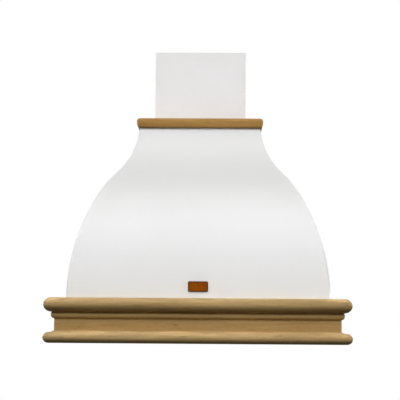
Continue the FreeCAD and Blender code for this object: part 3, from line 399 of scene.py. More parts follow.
# Painted light: the base's colours are a lighter copy of the crown's beech (wood_light,
# wood_dark). They stand in for more light on the bottom roll.
base_pale_with_painted_light = (0.490, 0.352, 0.155)
base_deep_with_painted_light = (0.345, 0.218, 0.082)
wood_light = (0.430, 0.303, 0.128)
wood_dark = (0.305, 0.190, 0.068)
wood_fleck = (0.14, 0.068, 0.019)
# Painted light: the fascia's colours are a much lighter copy of the crown's beech. They stand in
# for the light that the crown's overhang keeps off the fascia.
fascia_pale_with_painted_light = (0.69, 0.465, 0.195)
fascia_deep_with_painted_light = (0.50, 0.312, 0.114)
collar_light = (0.49, 0.275, 0.075)
collar_dark = (0.35, 0.180, 0.040)

beech_woods = {}
# The shift of each strip and the step of each run keep their grain from being the same. The base's
# and the fascia's colours carry painted light: lighter copies of the crown's beech.
for strip, light, dark, shift in (("base", base_pale_with_painted_light, base_deep_with_painted_light, 0.0),
                                  ("fascia", fascia_pale_with_painted_light, fascia_deep_with_painted_light, 3.7),
                                  ("crown", wood_light, wood_dark, 7.9),
                                  ("collar", collar_light, collar_dark, 11.3)):
    for run, along in (("front", "X"), ("left", "Y"), ("right", "Y")):
        step = {"front": 0.0, "left": 1.3, "right": 2.9}[run]
        beech_woods[strip, run] = beech("beech " + strip + " " + run, along, light, dark,
                                        wood_fleck, (shift + step, shift, step))

white_enamel = enamel()
zinc_sheet = spangled()
panel_steel = brushed("brushed panel steel", (0.56, 0.57, 0.58), "X")
filter_frame_metal = brushed("satin aluminium", (0.70, 0.71, 0.72), "Y", 0.30)
filter_mesh_metal = brushed("stretched aluminium", (0.62, 0.63, 0.64), "X", 0.28)
motor_enamel = moulded("dark motor enamel", (0.035, 0.038, 0.042), 0.40, 900.0)
black_plastic = moulded("black plastic", (0.018, 0.018, 0.019), 0.48)
button_plastic = moulded("button plastic", (0.030, 0.030, 0.032), 0.36)
grey_plastic = moulded("grey plastic", (0.10, 0.105, 0.11), 0.50)
capacitor_plastic = moulded("pale capacitor shell", (0.62, 0.62, 0.59), 0.30)
block_beech = beech("beech corner block", "Z", wood_light, wood_dark, wood_fleck, (5, 5, 5))
bronze_patina = patina()
bronze_rim = dark_rim()
lamp_chrome = chrome()
lamp_glass = frosted()
screw_metal = zinc_plated()


# ---- pieces

def piece(name, mesh, body, node, *materials, angle=smooth_angle):
    """An object of that mesh, smooth up to an angle, riding on a body in place of a CAD node."""
    item = bpy.data.objects.new(name, mesh)
    bpy.context.scene.collection.objects.link(item)
    if mesh.materials:
        mesh.materials.clear()
    for material in materials:
        mesh.materials.append(material)
    if angle:
        smooth(mesh, angle)
    mesh.update()
    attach(item, body)
    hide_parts(node)


def smooth(mesh, angle):
    """Smooth faces, with the edges that turn by more than the angle kept sharp."""
    mesh.polygons.foreach_set("use_smooth", [True] * len(mesh.polygons))
    mesh.set_sharp_from_angle(angle=math.radians(angle))


def mesh_of(name, verts, faces, outward=True):
    """A mesh of these faces, which are turned outwards where it is closed."""
    mesh = bpy.data.meshes.new(name)
    mesh.from_pydata([tuple(vert) for vert in verts], [], faces)
    if outward:
        form = bmesh.new()
        form.from_mesh(mesh)
        bmesh.ops.recalc_face_normals(form, faces=form.faces)
        form.to_mesh(mesh)
        form.free()
    mesh.update()
    return mesh


def plain_mesh(item):
    """A new mesh: the object's own with its modifiers applied."""
    bpy.context.view_layer.update()
    shaped = item.evaluated_get(bpy.context.evaluated_depsgraph_get())
    return bpy.data.meshes.new_from_object(shaped)


def evaluated(name, mesh, *modifiers):
    """The mesh with these modifiers applied: (kind, settings) each."""
    item = bpy.data.objects.new(name, mesh)
    bpy.context.scene.collection.objects.link(item)
    for kind, settings in modifiers:
        modifier = item.modifiers.new(kind.lower(), kind)
        for setting, value in settings.items():
            setattr(modifier, setting, value)
    result = plain_mesh(item)
    bpy.data.objects.remove(item)
    return result


def bevel(width, segments=2, angle=30.0):
    """Settings of a bevel on the edges that turn by more than the angle."""
    return ("BEVEL", {"width": width, "segments": segments, "limit_method": "ANGLE",
                      "angle_limit": math.radians(angle), "use_clamp_overlap": True})


def joined(name, *meshes):
    """One mesh from several."""
    form = bmesh.new()
    for mesh in meshes:
        form.from_mesh(mesh)
    result = bpy.data.meshes.new(name)
    form.to_mesh(result)
    form.free()
    return result


def arc(centre, radius, start, end, count):
    """Points of an arc from angle start to angle end, in degrees."""
    turns = [math.radians(start + (end - start) * step / count) for step in range(count + 1)]
    return [(centre[0] + radius * math.cos(turn), centre[1] + radius * math.sin(turn))
            for turn in turns]


def loft(name, rings, closed=True, capped=True):
    """Mesh through rings of points of the same count, or through open rows of them."""
    count = len(rings[0])
    verts = [vert for ring in rings for vert in ring]
    faces = []
    for row in range(len(rings) - 1):
        for column in range(count if closed else count - 1):
            after = (column + 1) % count
            faces.append((row * count + column, row * count + after,
                          (row + 1) * count + after, (row + 1) * count + column))
    if capped:
        faces.append(tuple(range(count)))
        faces.append(tuple(range((len(rings) - 1) * count, len(rings) * count)))
    return mesh_of(name, verts, faces, outward=capped)


def prism(name, outline, low, high):
    """Plan outline raised from one level to another."""
    return loft(name, [[(x, y, level) for x, y in outline] for level in (low, high)])


def node_form(node):
    """A CAD node's loose triangles, joined along their edges."""
    form = bmesh.new()
    form.from_mesh(frame["nodes"][node].data)
    bmesh.ops.remove_doubles(form, verts=form.verts, dist=joined_within)
    return form


def softened(node, material, width):
    """A CAD node with its edges broken: a joined copy of its mesh with a bevel this wide."""
    form = node_form(node)
    bmesh.ops.dissolve_limit(form, angle_limit=math.radians(flat_within), verts=form.verts,
                             edges=form.edges)
    mesh = bpy.data.meshes.new(node + "_form")
    form.to_mesh(mesh)
    form.free()
    smooth(mesh, smooth_angle)
    mesh = evaluated(node, mesh, bevel(width, 2, smooth_angle),
                     ("WEIGHTED_NORMAL", {"keep_sharp": True, "weight": 50}))
    for layer in list(mesh.uv_layers):
        mesh.uv_layers.remove(layer)
    piece(node + "_finished", mesh, frame["nodes"][node]["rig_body"], node, material, angle=None)


# ---- mouldings

def round_radius(reach, rise):
    """Radius of an arc that starts upright and moves aside by the reach over the rise."""
    return (reach * reach + rise * rise) / (2 * reach)


def base_section():
    """Bottom strip: a roll and the cove above it, as (inset from the outside, level)."""
    roll = 2 * base_roll
    cove = round_radius(base_height - roll, fascia_inset - base_roll)
    turn = math.degrees(math.asin((fascia_inset - base_roll) / cove))
    return ([(base_width, 0.0)] + arc((base_roll, base_roll), base_roll, 270, 90, base_roll_steps)
            + arc((base_roll, roll + cove), cove, -90, turn - 90, cove_steps)[1:]
            + [(base_width, base_height)])


def fascia_section():
    """Flat face, which swells into an ovolo with a band, under a quirk."""
    top = base_height + fascia_height
    band_top = top - quirk_height
    band_low = band_top - ovolo_band
    proud = fascia_inset - ovolo_reach
    bulge = round_radius(ovolo_reach, ovolo_rise)
    turn = math.degrees(math.asin(ovolo_rise / bulge))
    inner = fascia_inset + fascia_thickness
    return ([(inner, base_height), (fascia_inset, base_height)]
            + arc((proud + bulge, band_low), bulge, 180 + turn, 180, ovolo_steps)
            + [(proud, band_top), (proud + quirk_depth, band_top),
               (proud + quirk_depth, top), (inner, top)])


def crown_section():
    """Top roll, whose lower part turns further under than its upper part turns over."""
    low = base_height + fascia_height
    middle = foot_level - crown_over
    under = round_radius(crown_under, middle - low)
    turn = math.degrees(math.asin((middle - low) / under))
    return ([(crown_width, low)]
            + arc((under, middle), under, 180 + turn, 180, crown_under_steps)
            + arc((crown_over, middle), crown_over, 180, 90, crown_over_steps)[1:]
            + [(crown_width, foot_level)])


def collar_section():
    """Collar round the chimney: rounded above and slightly undercut below."""
    middle = collar_top.z - collar_round
    hollow = round_radius(collar_undercut, middle - bell_top)
    turn = math.degrees(math.asin((middle - bell_top) / hollow))
    return ([(collar_width, bell_top)]
            + arc((hollow, middle), hollow, 180 + turn, 180, collar_under_steps)
            + arc((collar_round, middle), collar_round, 180, 90, collar_over_steps)[1:]
            + [(collar_width, collar_top.z)])


def mitred_run(node, run, section, half, depth, material):
    """One run of a moulding, mitred at 45 degrees where it meets the next."""
    def ring(share):
        """The section at this share of the run's length."""
        points = []
        for inset, level in section:
            if run == "front":
                points.append(((2 * share - 1) * (half - inset), inset - depth, level))
            else:
                side = -1 if run == "left" else 1
                points.append((side * (half - inset), share * (inset - depth), level))
        return points

    mesh = loft(node, [ring(step / run_steps) for step in range(run_steps + 1)])
    mesh = evaluated(node, mesh, bevel(arris))
    piece(node + "_moulding", mesh, "root", node, material)


def make_mouldings():
    cornice = (hood_half, hood_depth)
    for strip, section, size in (("cornice_base", base_section(), cornice),
                                 ("cornice_fascia", fascia_section(), cornice),
                                 ("cornice_crown", crown_section(), cornice),
                                 ("collar", collar_section(), (collar_half, collar_depth))):
        for run in ("front", "left", "right"):
            mitred_run(strip + "_" + run, run, section, *size,
                       beech_woods[strip.replace("cornice_", ""), run])


# ---- bell

def bell_slopes(reach):
    """The three slopes, steepened or eased together until the bell covers this reach."""
    def slopes(factor):
        return [math.atan(factor * math.tan(math.radians(slope)))
                for slope in (shoulder_slope, hip_slope, neck_slope)]

    small, large, halvings = 0.01, 10.0, 60
    for _ in range(halvings):
        trial = (small + large) / 2
        low, middle, high = slopes(trial)
        covered = (shoulder_rise * math.tan(low / 2) + hip_rise * math.tan((low + middle) / 2)
                   + neck_rise * math.tan((middle + high) / 2))
        small, large = (trial, large) if covered < reach else (small, trial)
    return slopes(small)


def flare(foot, neck):
    """Reach of one side of the bell as a function of the level: three arcs in line."""
    low, middle, high = bell_slopes(foot - neck)
    shoulder = shoulder_rise / math.sin(low)
    hip = hip_rise / (math.sin(middle) - math.sin(low))
    hollow = neck_rise / (math.sin(middle) - math.sin(high))
    meet_low = (foot - shoulder + shoulder * math.cos(low), foot_level + shoulder_rise)
    hip_centre = (meet_low[0] - hip * math.cos(low), meet_low[1] - hip * math.sin(low))
    hollow_centre = (hip_centre[0] + (hip + hollow) * math.cos(middle),
                     hip_centre[1] + (hip + hollow) * math.sin(middle))

    def reach(level):
        if level <= meet_low[1]:
            return foot - shoulder + math.sqrt(shoulder ** 2 - (level - foot_level) ** 2)
        if level <= meet_low[1] + hip_rise:
            return hip_centre[0] + math.sqrt(hip ** 2 - (level - hip_centre[1]) ** 2)
        return hollow_centre[0] - math.sqrt(hollow ** 2 - (level - hollow_centre[1]) ** 2)
    return reach


side_reach = flare(foot_half, neck_half)
front_reach = flare(foot_depth, neck_depth)


def bell_levels():
    """Levels of the bell's rows, closest where it bends most."""
    levels = []
    start = foot_level
    for rise, count in ((shoulder_rise, shoulder_rows), (hip_rise, hip_rows),
                        (neck_rise, neck_rows)):
        levels += [start + rise * step / count for step in range(count)]
        start += rise
    return levels + [bell_top]


def front_row(level):
    """Plan of the front sheet at one level, from its left return to its right one."""
    half = side_reach(level)
    depth = front_reach(level)
    corner = arc((-half + hip_round, -depth + hip_round), hip_round, 180, 270, fold_steps)
    flat = half - 4 * hip_round
    left = [(-half, -depth + hip_return)] + corner + [(-half + 2 * hip_round, -depth)]
    middle = [(flat * (2 * step / front_columns - 1), -depth)
              for step in range(front_columns + 1)]
    right = [(-x, y) for x, y in reversed(left)]
    return [(x, y, level) for x, y in left + middle + right]


def side_row(level):
    """Plan of the left sheet at one level, from the wall to the front sheet."""
    half = side_reach(level)
    length = front_reach(level) - hip_return - hairline
    return [(-half, -length * step / side_columns, level)
            for step in range(side_columns + 1)]


def flange_strip(run, level, thickness):
    """Inward flange at the foot or the neck, mitred at the front corners."""
    half = side_reach(level) - sheet
    depth = front_reach(level) - sheet
    inner_half = half - rim_flange
    inner_depth = depth - rim_flange
    if run == "front":
        plan = [(-half, -depth), (half, -depth), (inner_half, -inner_depth),
                (-inner_half, -inner_depth)]
    else:
        plan = [(-half, -depth + hairline), (-inner_half, -inner_depth + hairline),
                (-inner_half, -2 * sheet), (-half, -2 * sheet)]
    return prism("flange", plan, level, level + thickness)


def rear_strip():
    """Flange of the left sheet along the wall."""
    back, front = -rear_gap, -rear_gap - sheet
    rings = []
    for level in bell_levels():
        outer = sheet - side_reach(level)
        inner = outer + rear_flange
        rings.append([(outer, back, level), (outer, front, level),
                      (inner, front, level), (inner, back, level)])
    return loft("rear strip", rings)


def mirrored_mesh(mesh, name):
    """The mesh on the other side of the hood, with its faces still outwards."""
    copy = mesh.copy()
    copy.name = name
    copy.transform(Matrix.Scale(-1, 4, Vector((1, 0, 0))))
    copy.flip_normals()
    return copy


def make_bell():
    skin = ("SOLIDIFY", {"thickness": sheet, "offset": -1.0, "use_even_offset": True})
    levels = bell_levels()
    front = loft("front", [front_row(level) for level in levels], closed=False, capped=False)
    side = loft("side", [side_row(level) for level in levels], closed=False, capped=False)
    side.flip_normals()
    front = joined("bell_front", evaluated("front", front, skin),
                   flange_strip("front", foot_level, sheet),
                   flange_strip("front", bell_top, -sheet))
    left = joined("bell_left", evaluated("side", side, skin),
                  flange_strip("left", foot_level, sheet),
                  flange_strip("left", bell_top, -sheet), rear_strip())
    right = mirrored_mesh(left, "bell_right")
    for name, mesh, node in (("bell_front", front, "front_panel"),
                             ("bell_left", left, "side_panel_left"),
                             ("bell_right", right, "side_panel_right")):
        piece(name, mesh, "root", node, white_enamel, angle=40)


# ---- chimney

def folded_plan(half, depth, back, thickness, lip, bend):
    """Plan of a sheet folded round the front and both sides, with lips along the wall."""
    def side(inset, radius):
        x, front, rear = half - inset, -depth + inset, -back - inset
        return ([(half - lip, rear)]
                + arc((x - radius, rear - radius), radius, 90, 0, fold_steps)
                + arc((x - radius, front + radius), radius, 0, -90, fold_steps))

    outer = side(0.0, bend)
    inner = side(thickness, bend - thickness)
    outer += [(-x, y) for x, y in reversed(outer)]
    inner += [(-x, y) for x, y in reversed(inner)]
    return outer + list(reversed(inner))


def make_chimney():
    for node, body, lip in (("chimney_cover", "root", cover_lip),
                            ("chimney_extension", "extension_body", extension_lip)):
        low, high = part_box(node)
        plan = folded_plan(high.x, -low.y, -high.y, chimney_sheet, lip, chimney_fold)
        mesh = evaluated(node, prism(node, plan, low.z, high.z), bevel(cut_edge, 1, 60))
        piece(node + "_sheet", mesh, body, node, white_enamel)


# ---- plaque

def plaque_ring(inset, out):
    """Outline of the plaque, drawn in by the inset and this far out from its back."""
    radius = max(plaque_corner - inset, plaque_inner_corner)
    half_x = plaque_width / 2 - inset - radius
    half_z = plaque_height / 2 - inset - radius
    points = []
    for side_x, side_z, start in ((1, 1, 0), (-1, 1, 90), (-1, -1, 180), (1, -1, 270)):
        points += arc((side_x * half_x, side_z * half_z), radius, start, start + 90,
                      plaque_steps)
    return [(x, -out, z) for x, z in points]


def make_plaque():
    """Bare plate with a raised rim, tangent to the curved front."""
    low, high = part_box("plaque")
    level = (low.z + high.z) / 2
    shoulder = shoulder_rise / math.sin(bell_slopes(foot_depth - neck_depth)[0])
    lean = math.asin((level - foot_level) / shoulder)
    out = plaque_thickness
    floor_out = plaque_thickness - plaque_recess
    edge = plaque_edge
    part_edge = 0.3 * plaque_edge
    rim_rings = [plaque_ring(0, 0), plaque_ring(0, out - edge),
                 plaque_ring(part_edge, out - part_edge), plaque_ring(edge, out),
                 plaque_ring(plaque_rim - edge, out)]
    inner_rings = [plaque_ring(plaque_rim - part_edge, out - part_edge),
                   plaque_ring(plaque_rim, floor_out), plaque_ring(plaque_rim + edge, floor_out)]
    mesh = loft("plaque_plate", rim_rings + inner_rings)
    first_inner = len(rim_rings) * len(rim_rings[0])
    for face in mesh.polygons:
        inner = all(vert >= first_inner for vert in face.vertices)
        face.material_index = 0 if inner else 1
    mesh.transform(Matrix.Translation((0, -front_reach(level) - plaque_gap, level))
                   @ Matrix.Rotation(-lean, 4, "X"))
    piece("plaque_plate", mesh, "root", "plaque", bronze_patina, bronze_rim, angle=50)


# ---- repeated forms

class Pattern:
    """A Geometry Nodes tree whose result becomes a plain mesh."""

    def __init__(self, name):
        self.tree = bpy.data.node_groups.new(name, "GeometryNodeTree")
        self.keys = {}
        for way in ("INPUT", "OUTPUT"):
            self.tree.interface.new_socket("Geometry", in_out=way,
                                           socket_type="NodeSocketGeometry")
        self.start = self.tree.nodes.new("NodeGroupInput")
        self.end = self.tree.nodes.new("NodeGroupOutput")

    def size(self, name, kind="Float"):
        """A named input of the tree."""
        socket = self.tree.interface.new_socket(name, in_out="INPUT",
                                                socket_type="NodeSocket" + kind)
        self.keys[name] = socket.identifier
        return self.start.outputs[name]

    def node(self, kind, *values, **named):
        """A node, with its inputs by place or by name, and its settings by name."""
        node = self.tree.nodes.new(kind)
        sockets = {}
        for name, value in named.items():
            if name[0].isupper():
                sockets[name.replace("_", " ")] = value
            else:
                setattr(node, name, value)
        pairs = list(zip(node.inputs, values))
        pairs += [(node.inputs[name], value) for name, value in sockets.items()]
        for socket, value in pairs:
            if isinstance(value, bpy.types.NodeSocket):
                self.tree.links.new(value, socket)
            else:
                socket.default_value = value
        return node.outputs[0]

    def math(self, way, first, second):
        """Two numbers put through this operation."""
        return self.node("ShaderNodeMath", first, second, operation=way)

    def vector(self, x=0.0, y=0.0, z=0.0):
        return self.node("ShaderNodeCombineXYZ", x, y, z)

    def close(self, geometry, material):
        """Realize Instances and Set Material, then the output."""
        real = self.node("GeometryNodeRealizeInstances", geometry)
        painted = self.node("GeometryNodeSetMaterial", real, Material=material)
        self.tree.links.new(painted, self.end.inputs[0])

    def run(self, mesh, **sizes):
        """The tree's result on this mesh, as a plain mesh."""
        host = bpy.data.objects.new("host", mesh)
        bpy.context.scene.collection.objects.link(host)
        modifier = host.modifiers.new("pattern", "NODES")
        modifier.node_group = self.tree
        for name, value in sizes.items():
            modifier[self.keys[name.replace("_", " ")]] = value
        result = plain_mesh(host)
        host.modifiers.remove(modifier)
        bpy.data.objects.remove(host)
        return result


def expanded_metal():
    """Stretched mesh: zigzag strands side by side that touch at their turns."""
    web = Pattern("expanded metal")
    steps = web.size("Steps", "Int")
    rows = web.size("Rows", "Int")
    half_pitch = web.size("Half pitch")
    row_pitch = web.size("Row pitch")
    width = web.size("Strand width")
    thickness = web.size("Strand thickness")
    index = web.node("GeometryNodeInputIndex")
    odd = web.math("MODULO", index, 2.0)
    line = web.node("GeometryNodeMeshLine", Count=steps, Offset=web.vector(half_pitch))
    swing = web.math("MULTIPLY", web.math("SUBTRACT", odd, 0.5), row_pitch)
    zigzag = web.node("GeometryNodeSetPosition", line, Offset=web.vector(0.0, swing, 0.0))
    strand = web.node("GeometryNodeMeshToCurve", zigzag)
    profile = web.node("GeometryNodeCurvePrimitiveQuadrilateral", width, thickness)
    strand = web.node("GeometryNodeCurveToMesh", strand, Profile_Curve=profile, Fill_Caps=True)
    places = web.node("GeometryNodeMeshLine", Count=rows, Offset=web.vector(0.0, row_pitch))
    shift = web.math("MULTIPLY", odd, half_pitch)
    places = web.node("GeometryNodeSetPosition", places, Offset=web.vector(shift))
    web.close(web.node("GeometryNodeInstanceOnPoints", places, Instance=strand),
              filter_mesh_metal)
    return web


def make_filter_meshes():
    """Three layers of stretched mesh in each filter, shifted against each other."""
    web = expanded_metal()
    for side in ("left", "right"):
        node = "filter_mesh_" + side
        low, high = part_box(node)
        steps = int((high.x - low.x - 2 * strand_margin) / strand_half_pitch)
        rows = int((high.y - low.y - 2 * strand_margin) / strand_row_pitch)
        layers = []
        for level, shift in strand_layers:
            layer = web.run(bpy.data.meshes.new("host"), Steps=steps, Rows=rows - 1,
                            Half_pitch=strand_half_pitch, Row_pitch=strand_row_pitch,
                            Strand_width=strand_width, Strand_thickness=strand_thickness)
            first_row = low.y + strand_margin + (1 + shift) * strand_row_pitch
            layer.transform(Matrix.Translation((low.x + strand_margin, first_row,
                                                low.z + level)))
            layers.append(layer)
        piece(node + "_web", joined(node, *layers), "filter_" + side + "_body", node,
              filter_mesh_metal)


def blade_ring():
    """Tree that sets copies of the given blade evenly round the X axis."""
    ring = Pattern("ring of blades")
    count = ring.size("Count", "Int")
    index = ring.node("GeometryNodeInputIndex")
    turn = ring.math("DIVIDE", ring.math("MULTIPLY", index, 2 * math.pi), count)
    places = ring.node("GeometryNodeMeshLine", Count=count, Offset=(0.0, 0.0, 0.0))
    copies = ring.node("GeometryNodeInstanceOnPoints", places,
                       Instance=ring.start.outputs[0], Rotation=ring.vector(turn))
    ring.close(copies, zinc_sheet)
    return ring


def lathe(name, profile, sides):
    """Closed shape turned about the Z axis, from (radius, level) points."""
    rings = []
    for step in range(sides):
        turn = 2 * math.pi * step / sides
        rings.append([(radius * math.cos(turn), radius * math.sin(turn), level)
                      for radius, level in profile])
    count = len(profile)
    verts = [vert for ring in rings for vert in ring]
    faces = []
    for step in range(sides):
        after = (step + 1) % sides
        for row in range(count):
            below = (row + 1) % count
            faces.append((step * count + row, after * count + row,
                          after * count + below, step * count + below))
    mesh = mesh_of(name, verts, faces, outward=False)
    form = bmesh.new()
    form.from_mesh(mesh)
    bmesh.ops.remove_doubles(form, verts=form.verts, dist=joined_within / 10)
    bmesh.ops.recalc_face_normals(form, faces=form.faces)
    form.to_mesh(mesh)
    form.free()
    return mesh


def blade_section(radius):
    """Section of one blade as (y, z): out along one bowed face, in along the other."""
    lead = math.radians(blade_lead)
    start = Vector((blade_inner, 0.0))
    end = Vector((math.cos(lead), math.sin(lead))) * (radius - blade_clear)
    across = Vector((start.y - end.y, end.x - start.x)).normalized()

    def bowed(offset):
        points = []
        for step in range(blade_steps + 1):
            share = step / blade_steps
            bow = blade_bow * 4 * share * (1 - share)
            points.append(start.lerp(end, share) - across * (offset + bow))
        return points

    return bowed(0.0) + list(reversed(bowed(blade_thickness)))


def wheel_band(outer, hole, start, end):
    """Flat ring round the X axis from start to end, with its outer edges broken."""
    soft = wheel_edge
    band = lathe("band", [(outer, start + soft), (outer, end - soft), (outer - soft, end),
                          (hole, end), (hole, start), (outer - soft, start)], wheel_sides)
    band.transform(Matrix.Rotation(math.radians(90), 4, "Y"))
    return band


def make_fan_wheel():
    """Squirrel-cage wheel: two rows of thin curved blades, an end ring each and a hub disc."""
    low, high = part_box("fan_rings")
    centre = (low + high) / 2
    radius = (high.z - low.z) / 2
    half = high.x
    rim = radius - end_ring_width
    ring = blade_ring()
    section = blade_section(radius)

    def row(start, end):
        blade = loft("blade", [[(x, y, z) for y, z in section] for x in (start, end)])
        return ring.run(blade, Count=blade_count)

    for node, parts in (("fan_blades", [row(-half + end_ring, disc_low),
                                        row(disc_high, half - end_ring)]),
                        ("fan_rings", [wheel_band(radius, rim, -half, -half + end_ring),
                                       wheel_band(radius, rim, half - end_ring, half)]),
                        ("fan_hub", [wheel_band(radius, hub_bore, disc_low, disc_high),
                                     wheel_band(hub_radius, hub_bore, disc_high, hub_end)])):
        mesh = joined(node, *parts)
        mesh.transform(Matrix.Translation((0.0, centre.y, centre.z)))
        piece(node + "_sheet", mesh, "fan_body", node, zinc_sheet, angle=30)


def screw_pattern():
    """A pan-head screw on each point, along the point's way, with a cross recess."""
    rows = Pattern("screws")
    blank = rows.size("Blank", "Object")
    head = rows.size("Head height")
    info = rows.node("GeometryNodeObjectInfo", blank).node
    cut = rows.tree.nodes.new("GeometryNodeMeshBoolean")
    cut.operation = "DIFFERENCE"
    rows.tree.links.new(info.outputs["Geometry"], cut.inputs["Mesh 1"])
    for size in ((cross_length, cross_width, cross_height),
                 (cross_width, cross_length, cross_height)):
        slot = rows.node("GeometryNodeMeshCube", Size=size)
        slot = rows.node("GeometryNodeTransform", slot, Translation=rows.vector(0.0, 0.0, head))
        rows.tree.links.new(slot, cut.inputs["Mesh 2"])
    way = rows.node("GeometryNodeInputNamedAttribute", "way", data_type="FLOAT_VECTOR")
    turn = rows.node("FunctionNodeAlignRotationToVector", Vector=way, axis="Z")
    copies = rows.node("GeometryNodeInstanceOnPoints", rows.start.outputs[0],
                       Instance=cut.outputs["Mesh"], Rotation=turn)
    rows.close(copies, screw_metal)
    return rows


def separate_solids(form):
    """The points of each separate solid of a form, in the form's own order."""
    seen = set()
    solids = []
    for seed in form.verts:
        if seed in seen:
            continue
        seen.add(seed)
        points, open_ends = [], [seed]
        while open_ends:
            vert = open_ends.pop()
            points.append(vert.co.copy())
            near = [edge.other_vert(vert) for edge in vert.link_edges]
            fresh = [other for other in near if other not in seen]
            seen.update(fresh)
            open_ends += fresh
        solids.append(points)
    return solids


def screw_place(points):
    """Top of the head, way up and length of one screw, which lies along X, Y or Z."""
    lows = [min(point[axis] for point in points) for axis in range(3)]
    highs = [max(point[axis] for point in points) for axis in range(3)]
    sizes = [high - low for low, high in zip(lows, highs)]
    axis = min(range(3), key=lambda number: abs(sizes[(number + 1) % 3]
                                                - sizes[(number + 2) % 3]))

    def end_radius(level):
        core = Vector([(low + high) / 2 for low, high in zip(lows, highs)])
        core[axis] = level
        return max((point - core).length for point in points
                   if abs(point[axis] - level) < 10 * joined_within)

    head_up = end_radius(highs[axis]) > end_radius(lows[axis])
    way = Vector((0.0, 0.0, 0.0))
    way[axis] = 1.0 if head_up else -1.0
    top = Vector([(low + high) / 2 for low, high in zip(lows, highs)])
    top[axis] = highs[axis] if head_up else lows[axis]
    return top, way, sizes[axis]


def screw_blank(length):
    """Pan-head screw without its cross, with the seat of its head at the origin."""
    dome = []
    for step in range(dome_steps):
        turn = math.radians(90 * step / dome_steps)
        rise = screw_head_wall + (1 - screw_head_wall) * math.sin(turn)
        dome.append((screw_head_radius * math.cos(turn), screw_head * rise))
    profile = [(0.0, -length), (screw_radius * screw_tip, -length),
               (screw_radius, -length + screw_radius), (screw_radius, 0.0),
               (screw_head_radius, 0.0)] + dome + [(0.0, screw_head)]
    blank = bpy.data.objects.new("blank", lathe("blank", profile, screw_sides))
    bpy.context.scene.collection.objects.link(blank)
    return blank


def make_screws():
    """Screws of one length in each node, each where its solid is."""
    pattern = screw_pattern()
    for node in ("wood_screws", "sheet_screws", "back_screws", "chimney_screws"):
        form = node_form(node)
        places = [screw_place(points) for points in separate_solids(form)]
        form.free()
        blank = screw_blank(places[0][2] - screw_head)
        host = bpy.data.meshes.new("host")
        host.from_pydata([tuple(top - way * screw_head) for top, way, _ in places], [], [])
        host.attributes.new("way", "FLOAT_VECTOR", "POINT")
        host.attributes["way"].data.foreach_set(
            "vector", [number for _, way, _ in places for number in way])
        mesh = pattern.run(host, Blank=blank, Head_height=screw_head)
        bpy.data.objects.remove(blank)
        piece(node + "_pan_head", mesh, "root", node, screw_metal)


# ---- kept nodes

def make_kept():
    """CAD nodes whose form is right, each with its finish and its edges broken this wide."""
    softened("underside_panel", panel_steel, 0.0004)
    softened("cornice_corner_blocks", block_beech, 0.0005)
    softened("back_plate", zinc_sheet, 0.0002)
    softened("top_plate", zinc_sheet, 0.0002)
    softened("chimney_bracket", zinc_sheet, 0.0002)
    for side in ("left", "right"):
        softened("filter_frame_" + side, filter_frame_metal, 0.0006)
        softened("filter_latch_" + side, black_plastic, 0.0004)
        softened("lamp_housing_" + side, lamp_chrome, 0.0003)
        softened("lamp_lens_" + side, lamp_glass, 0.0003)
    softened("control_housing", black_plastic, 0.0004)
    for name in ("off", "speed_1", "speed_2", "speed_3", "light"):
        softened("button_" + name, button_plastic, 0.0003)
    for node in ("fan_scroll", "fan_side_left", "fan_side_right", "motor_spider",
                 "outlet_adaptor", "outlet_spigot", "flap_front", "flap_rear"):
        softened(node, zinc_sheet, 0.00015)
    softened("motor", motor_enamel, 0.0006)
    softened("motor_shaft", screw_metal, 0.0003)
    softened("flap_pins", screw_metal, 0.0002)
    softened("electrics_box", grey_plastic, 0.0003)
    softened("capacitor", capacitor_plastic, 0.0004)
    softened("cable_gland", black_plastic, 0.0003)


# ---- stage

def seen_rays(nodes, links):
    """1 for rays from the camera, off gloss or through glass, and 0 for the light's own."""
    path = nodes.new("ShaderNodeLightPath")
    seen = path.outputs["Is Camera Ray"]
    for ray in ("Is Glossy Ray", "Is Transmission Ray"):
        either = nodes.new("ShaderNodeMath")
        either.operation = "MAXIMUM"
        links.new(seen, either.inputs[0])
        links.new(path.outputs[ray], either.inputs[1])
        seen = either.outputs[0]
    return seen


def make_floor():
    """A pale disc far below, which throws little light back on the hood."""
    floor = Finish("pale floor", (0.80, 0.80, 0.80), 0.7)
    seen = seen_rays(floor.tree.nodes, floor.tree.links)
    floor.colored(floor.mixed(seen, (floor_thrown,) * 3, (floor_seen,) * 3))
    floor.shader.inputs["Emission Color"].default_value = (1, 1, 1, 1)
    floor.put(floor.shader.inputs["Emission Strength"],
              floor.added(seen, floor_glow, "MULTIPLY"))
    circle = arc((0.0, 0.0), floor_radius, 0, 360, floor_sides)[:-1]
    mesh = mesh_of("floor", [(x, y, floor_level) for x, y in circle],
                   [tuple(range(floor_sides))], outward=False)
    ground = bpy.data.objects.new("floor", mesh)
    mesh.materials.append(floor.material)
    bpy.context.scene.collection.objects.link(ground)


def make_world():
    """White where it is seen, straight or in gloss or glass. It lights nothing."""
    world = bpy.data.worlds.new("studio")
    bpy.context.scene.world = world
    world.use_nodes = True
    nodes, links = world.node_tree.nodes, world.node_tree.links
    mix = nodes.new("ShaderNodeMix")
    mix.data_type = "RGBA"
    links.new(seen_rays(nodes, links), mix.inputs[0])
    mix.inputs[6].default_value = (0, 0, 0, 1)
    mix.inputs[7].default_value = (1, 1, 1, 1)
    links.new(mix.outputs[2], nodes["Background"].inputs["Color"])
    nodes["Background"].inputs["Strength"].default_value = 1.0


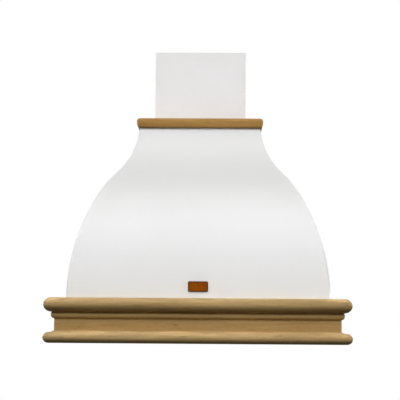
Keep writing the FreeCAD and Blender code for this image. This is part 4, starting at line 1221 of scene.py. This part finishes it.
def soft_light(name, azimuth, elevation, energy, size=(1.6, 1.6), distance=3.2,
               target=(0.0, -0.25, 0.40), beam=180.0):
    """A softbox that stands at these angles from the front and looks at the target."""
    lamp = bpy.data.lights.new(name, "AREA")
    lamp.shape = "RECTANGLE"
    lamp.size, lamp.size_y = size
    lamp.energy = energy
    lamp.spread = math.radians(beam)
    turn, rise = math.radians(azimuth), math.radians(elevation)
    away = Vector((math.sin(turn) * math.cos(rise), -math.cos(turn) * math.cos(rise),
                   math.sin(rise)))
    holder = bpy.data.objects.new(name, lamp)
    holder.location = Vector(target) + distance * away
    holder.rotation_euler = (-away).to_track_quat("-Z", "Y").to_euler()
    bpy.context.scene.collection.objects.link(holder)


def make_lights():
    """Softboxes above the camera and round the hood, and two narrow strips: one from above
    on the cornice and the lower bell, one level on the chimney."""
    soft_light("front softbox", 0, 42, 35.0)
    for side, name in ((-1, "left"), (1, "right")):
        soft_light(name + " softbox", 30 * side, 35, 20.0)
        soft_light(name + " window", 60 * side, 20, 14.5)
        soft_light(name + " rear window", 115 * side, 30, 30.0)
    soft_light("rear softbox", 180, 35, 40.0)
    soft_light("cornice strip", 0, 70, 1.05, (1.9, 0.10), 2.0, (0.0, -0.47, 0.06), 16.0)
    soft_light("chimney strip", 0, 0, 0.04, (0.5, 0.15), 3.2, (0.0, -0.25, 0.80), 5.0)


def make_camera():
    """The photograph's view: almost square on, from low down, tilted up a little."""
    right_of_middle, distance, height = 0.0516, 3.0, 0.0601
    turn, tilt, roll = 0.0155, 0.1194, 0.0070          # radians
    focal_px, photo_px, sensor = 1026.8, 400, 36.0
    away = Vector((-math.sin(turn) * math.cos(tilt), math.cos(turn) * math.cos(tilt),
                   math.sin(tilt)))
    right = Vector((math.cos(turn), math.sin(turn), 0))
    up = right.cross(away)
    rolled = math.cos(roll) * right + math.sin(roll) * up
    upright = math.cos(roll) * up - math.sin(roll) * right
    data = bpy.data.cameras.new("camera")
    data.sensor_width = sensor
    data.lens = focal_px / photo_px * sensor
    camera = bpy.data.objects.new("camera", data)
    camera.matrix_world = Matrix.Translation(
        (right_of_middle, -hood_depth - distance, height)) @ Matrix(
            (rolled, upright, -away)).transposed().to_4x4()
    bpy.context.scene.collection.objects.link(camera)
    bpy.context.scene.camera = camera


make_mouldings()
make_bell()
make_chimney()
make_plaque()
make_filter_meshes()
make_fan_wheel()
make_screws()
make_kept()
make_floor()
make_world()
make_lights()
make_camera()
bpy.context.scene.view_settings.view_transform = "Standard"
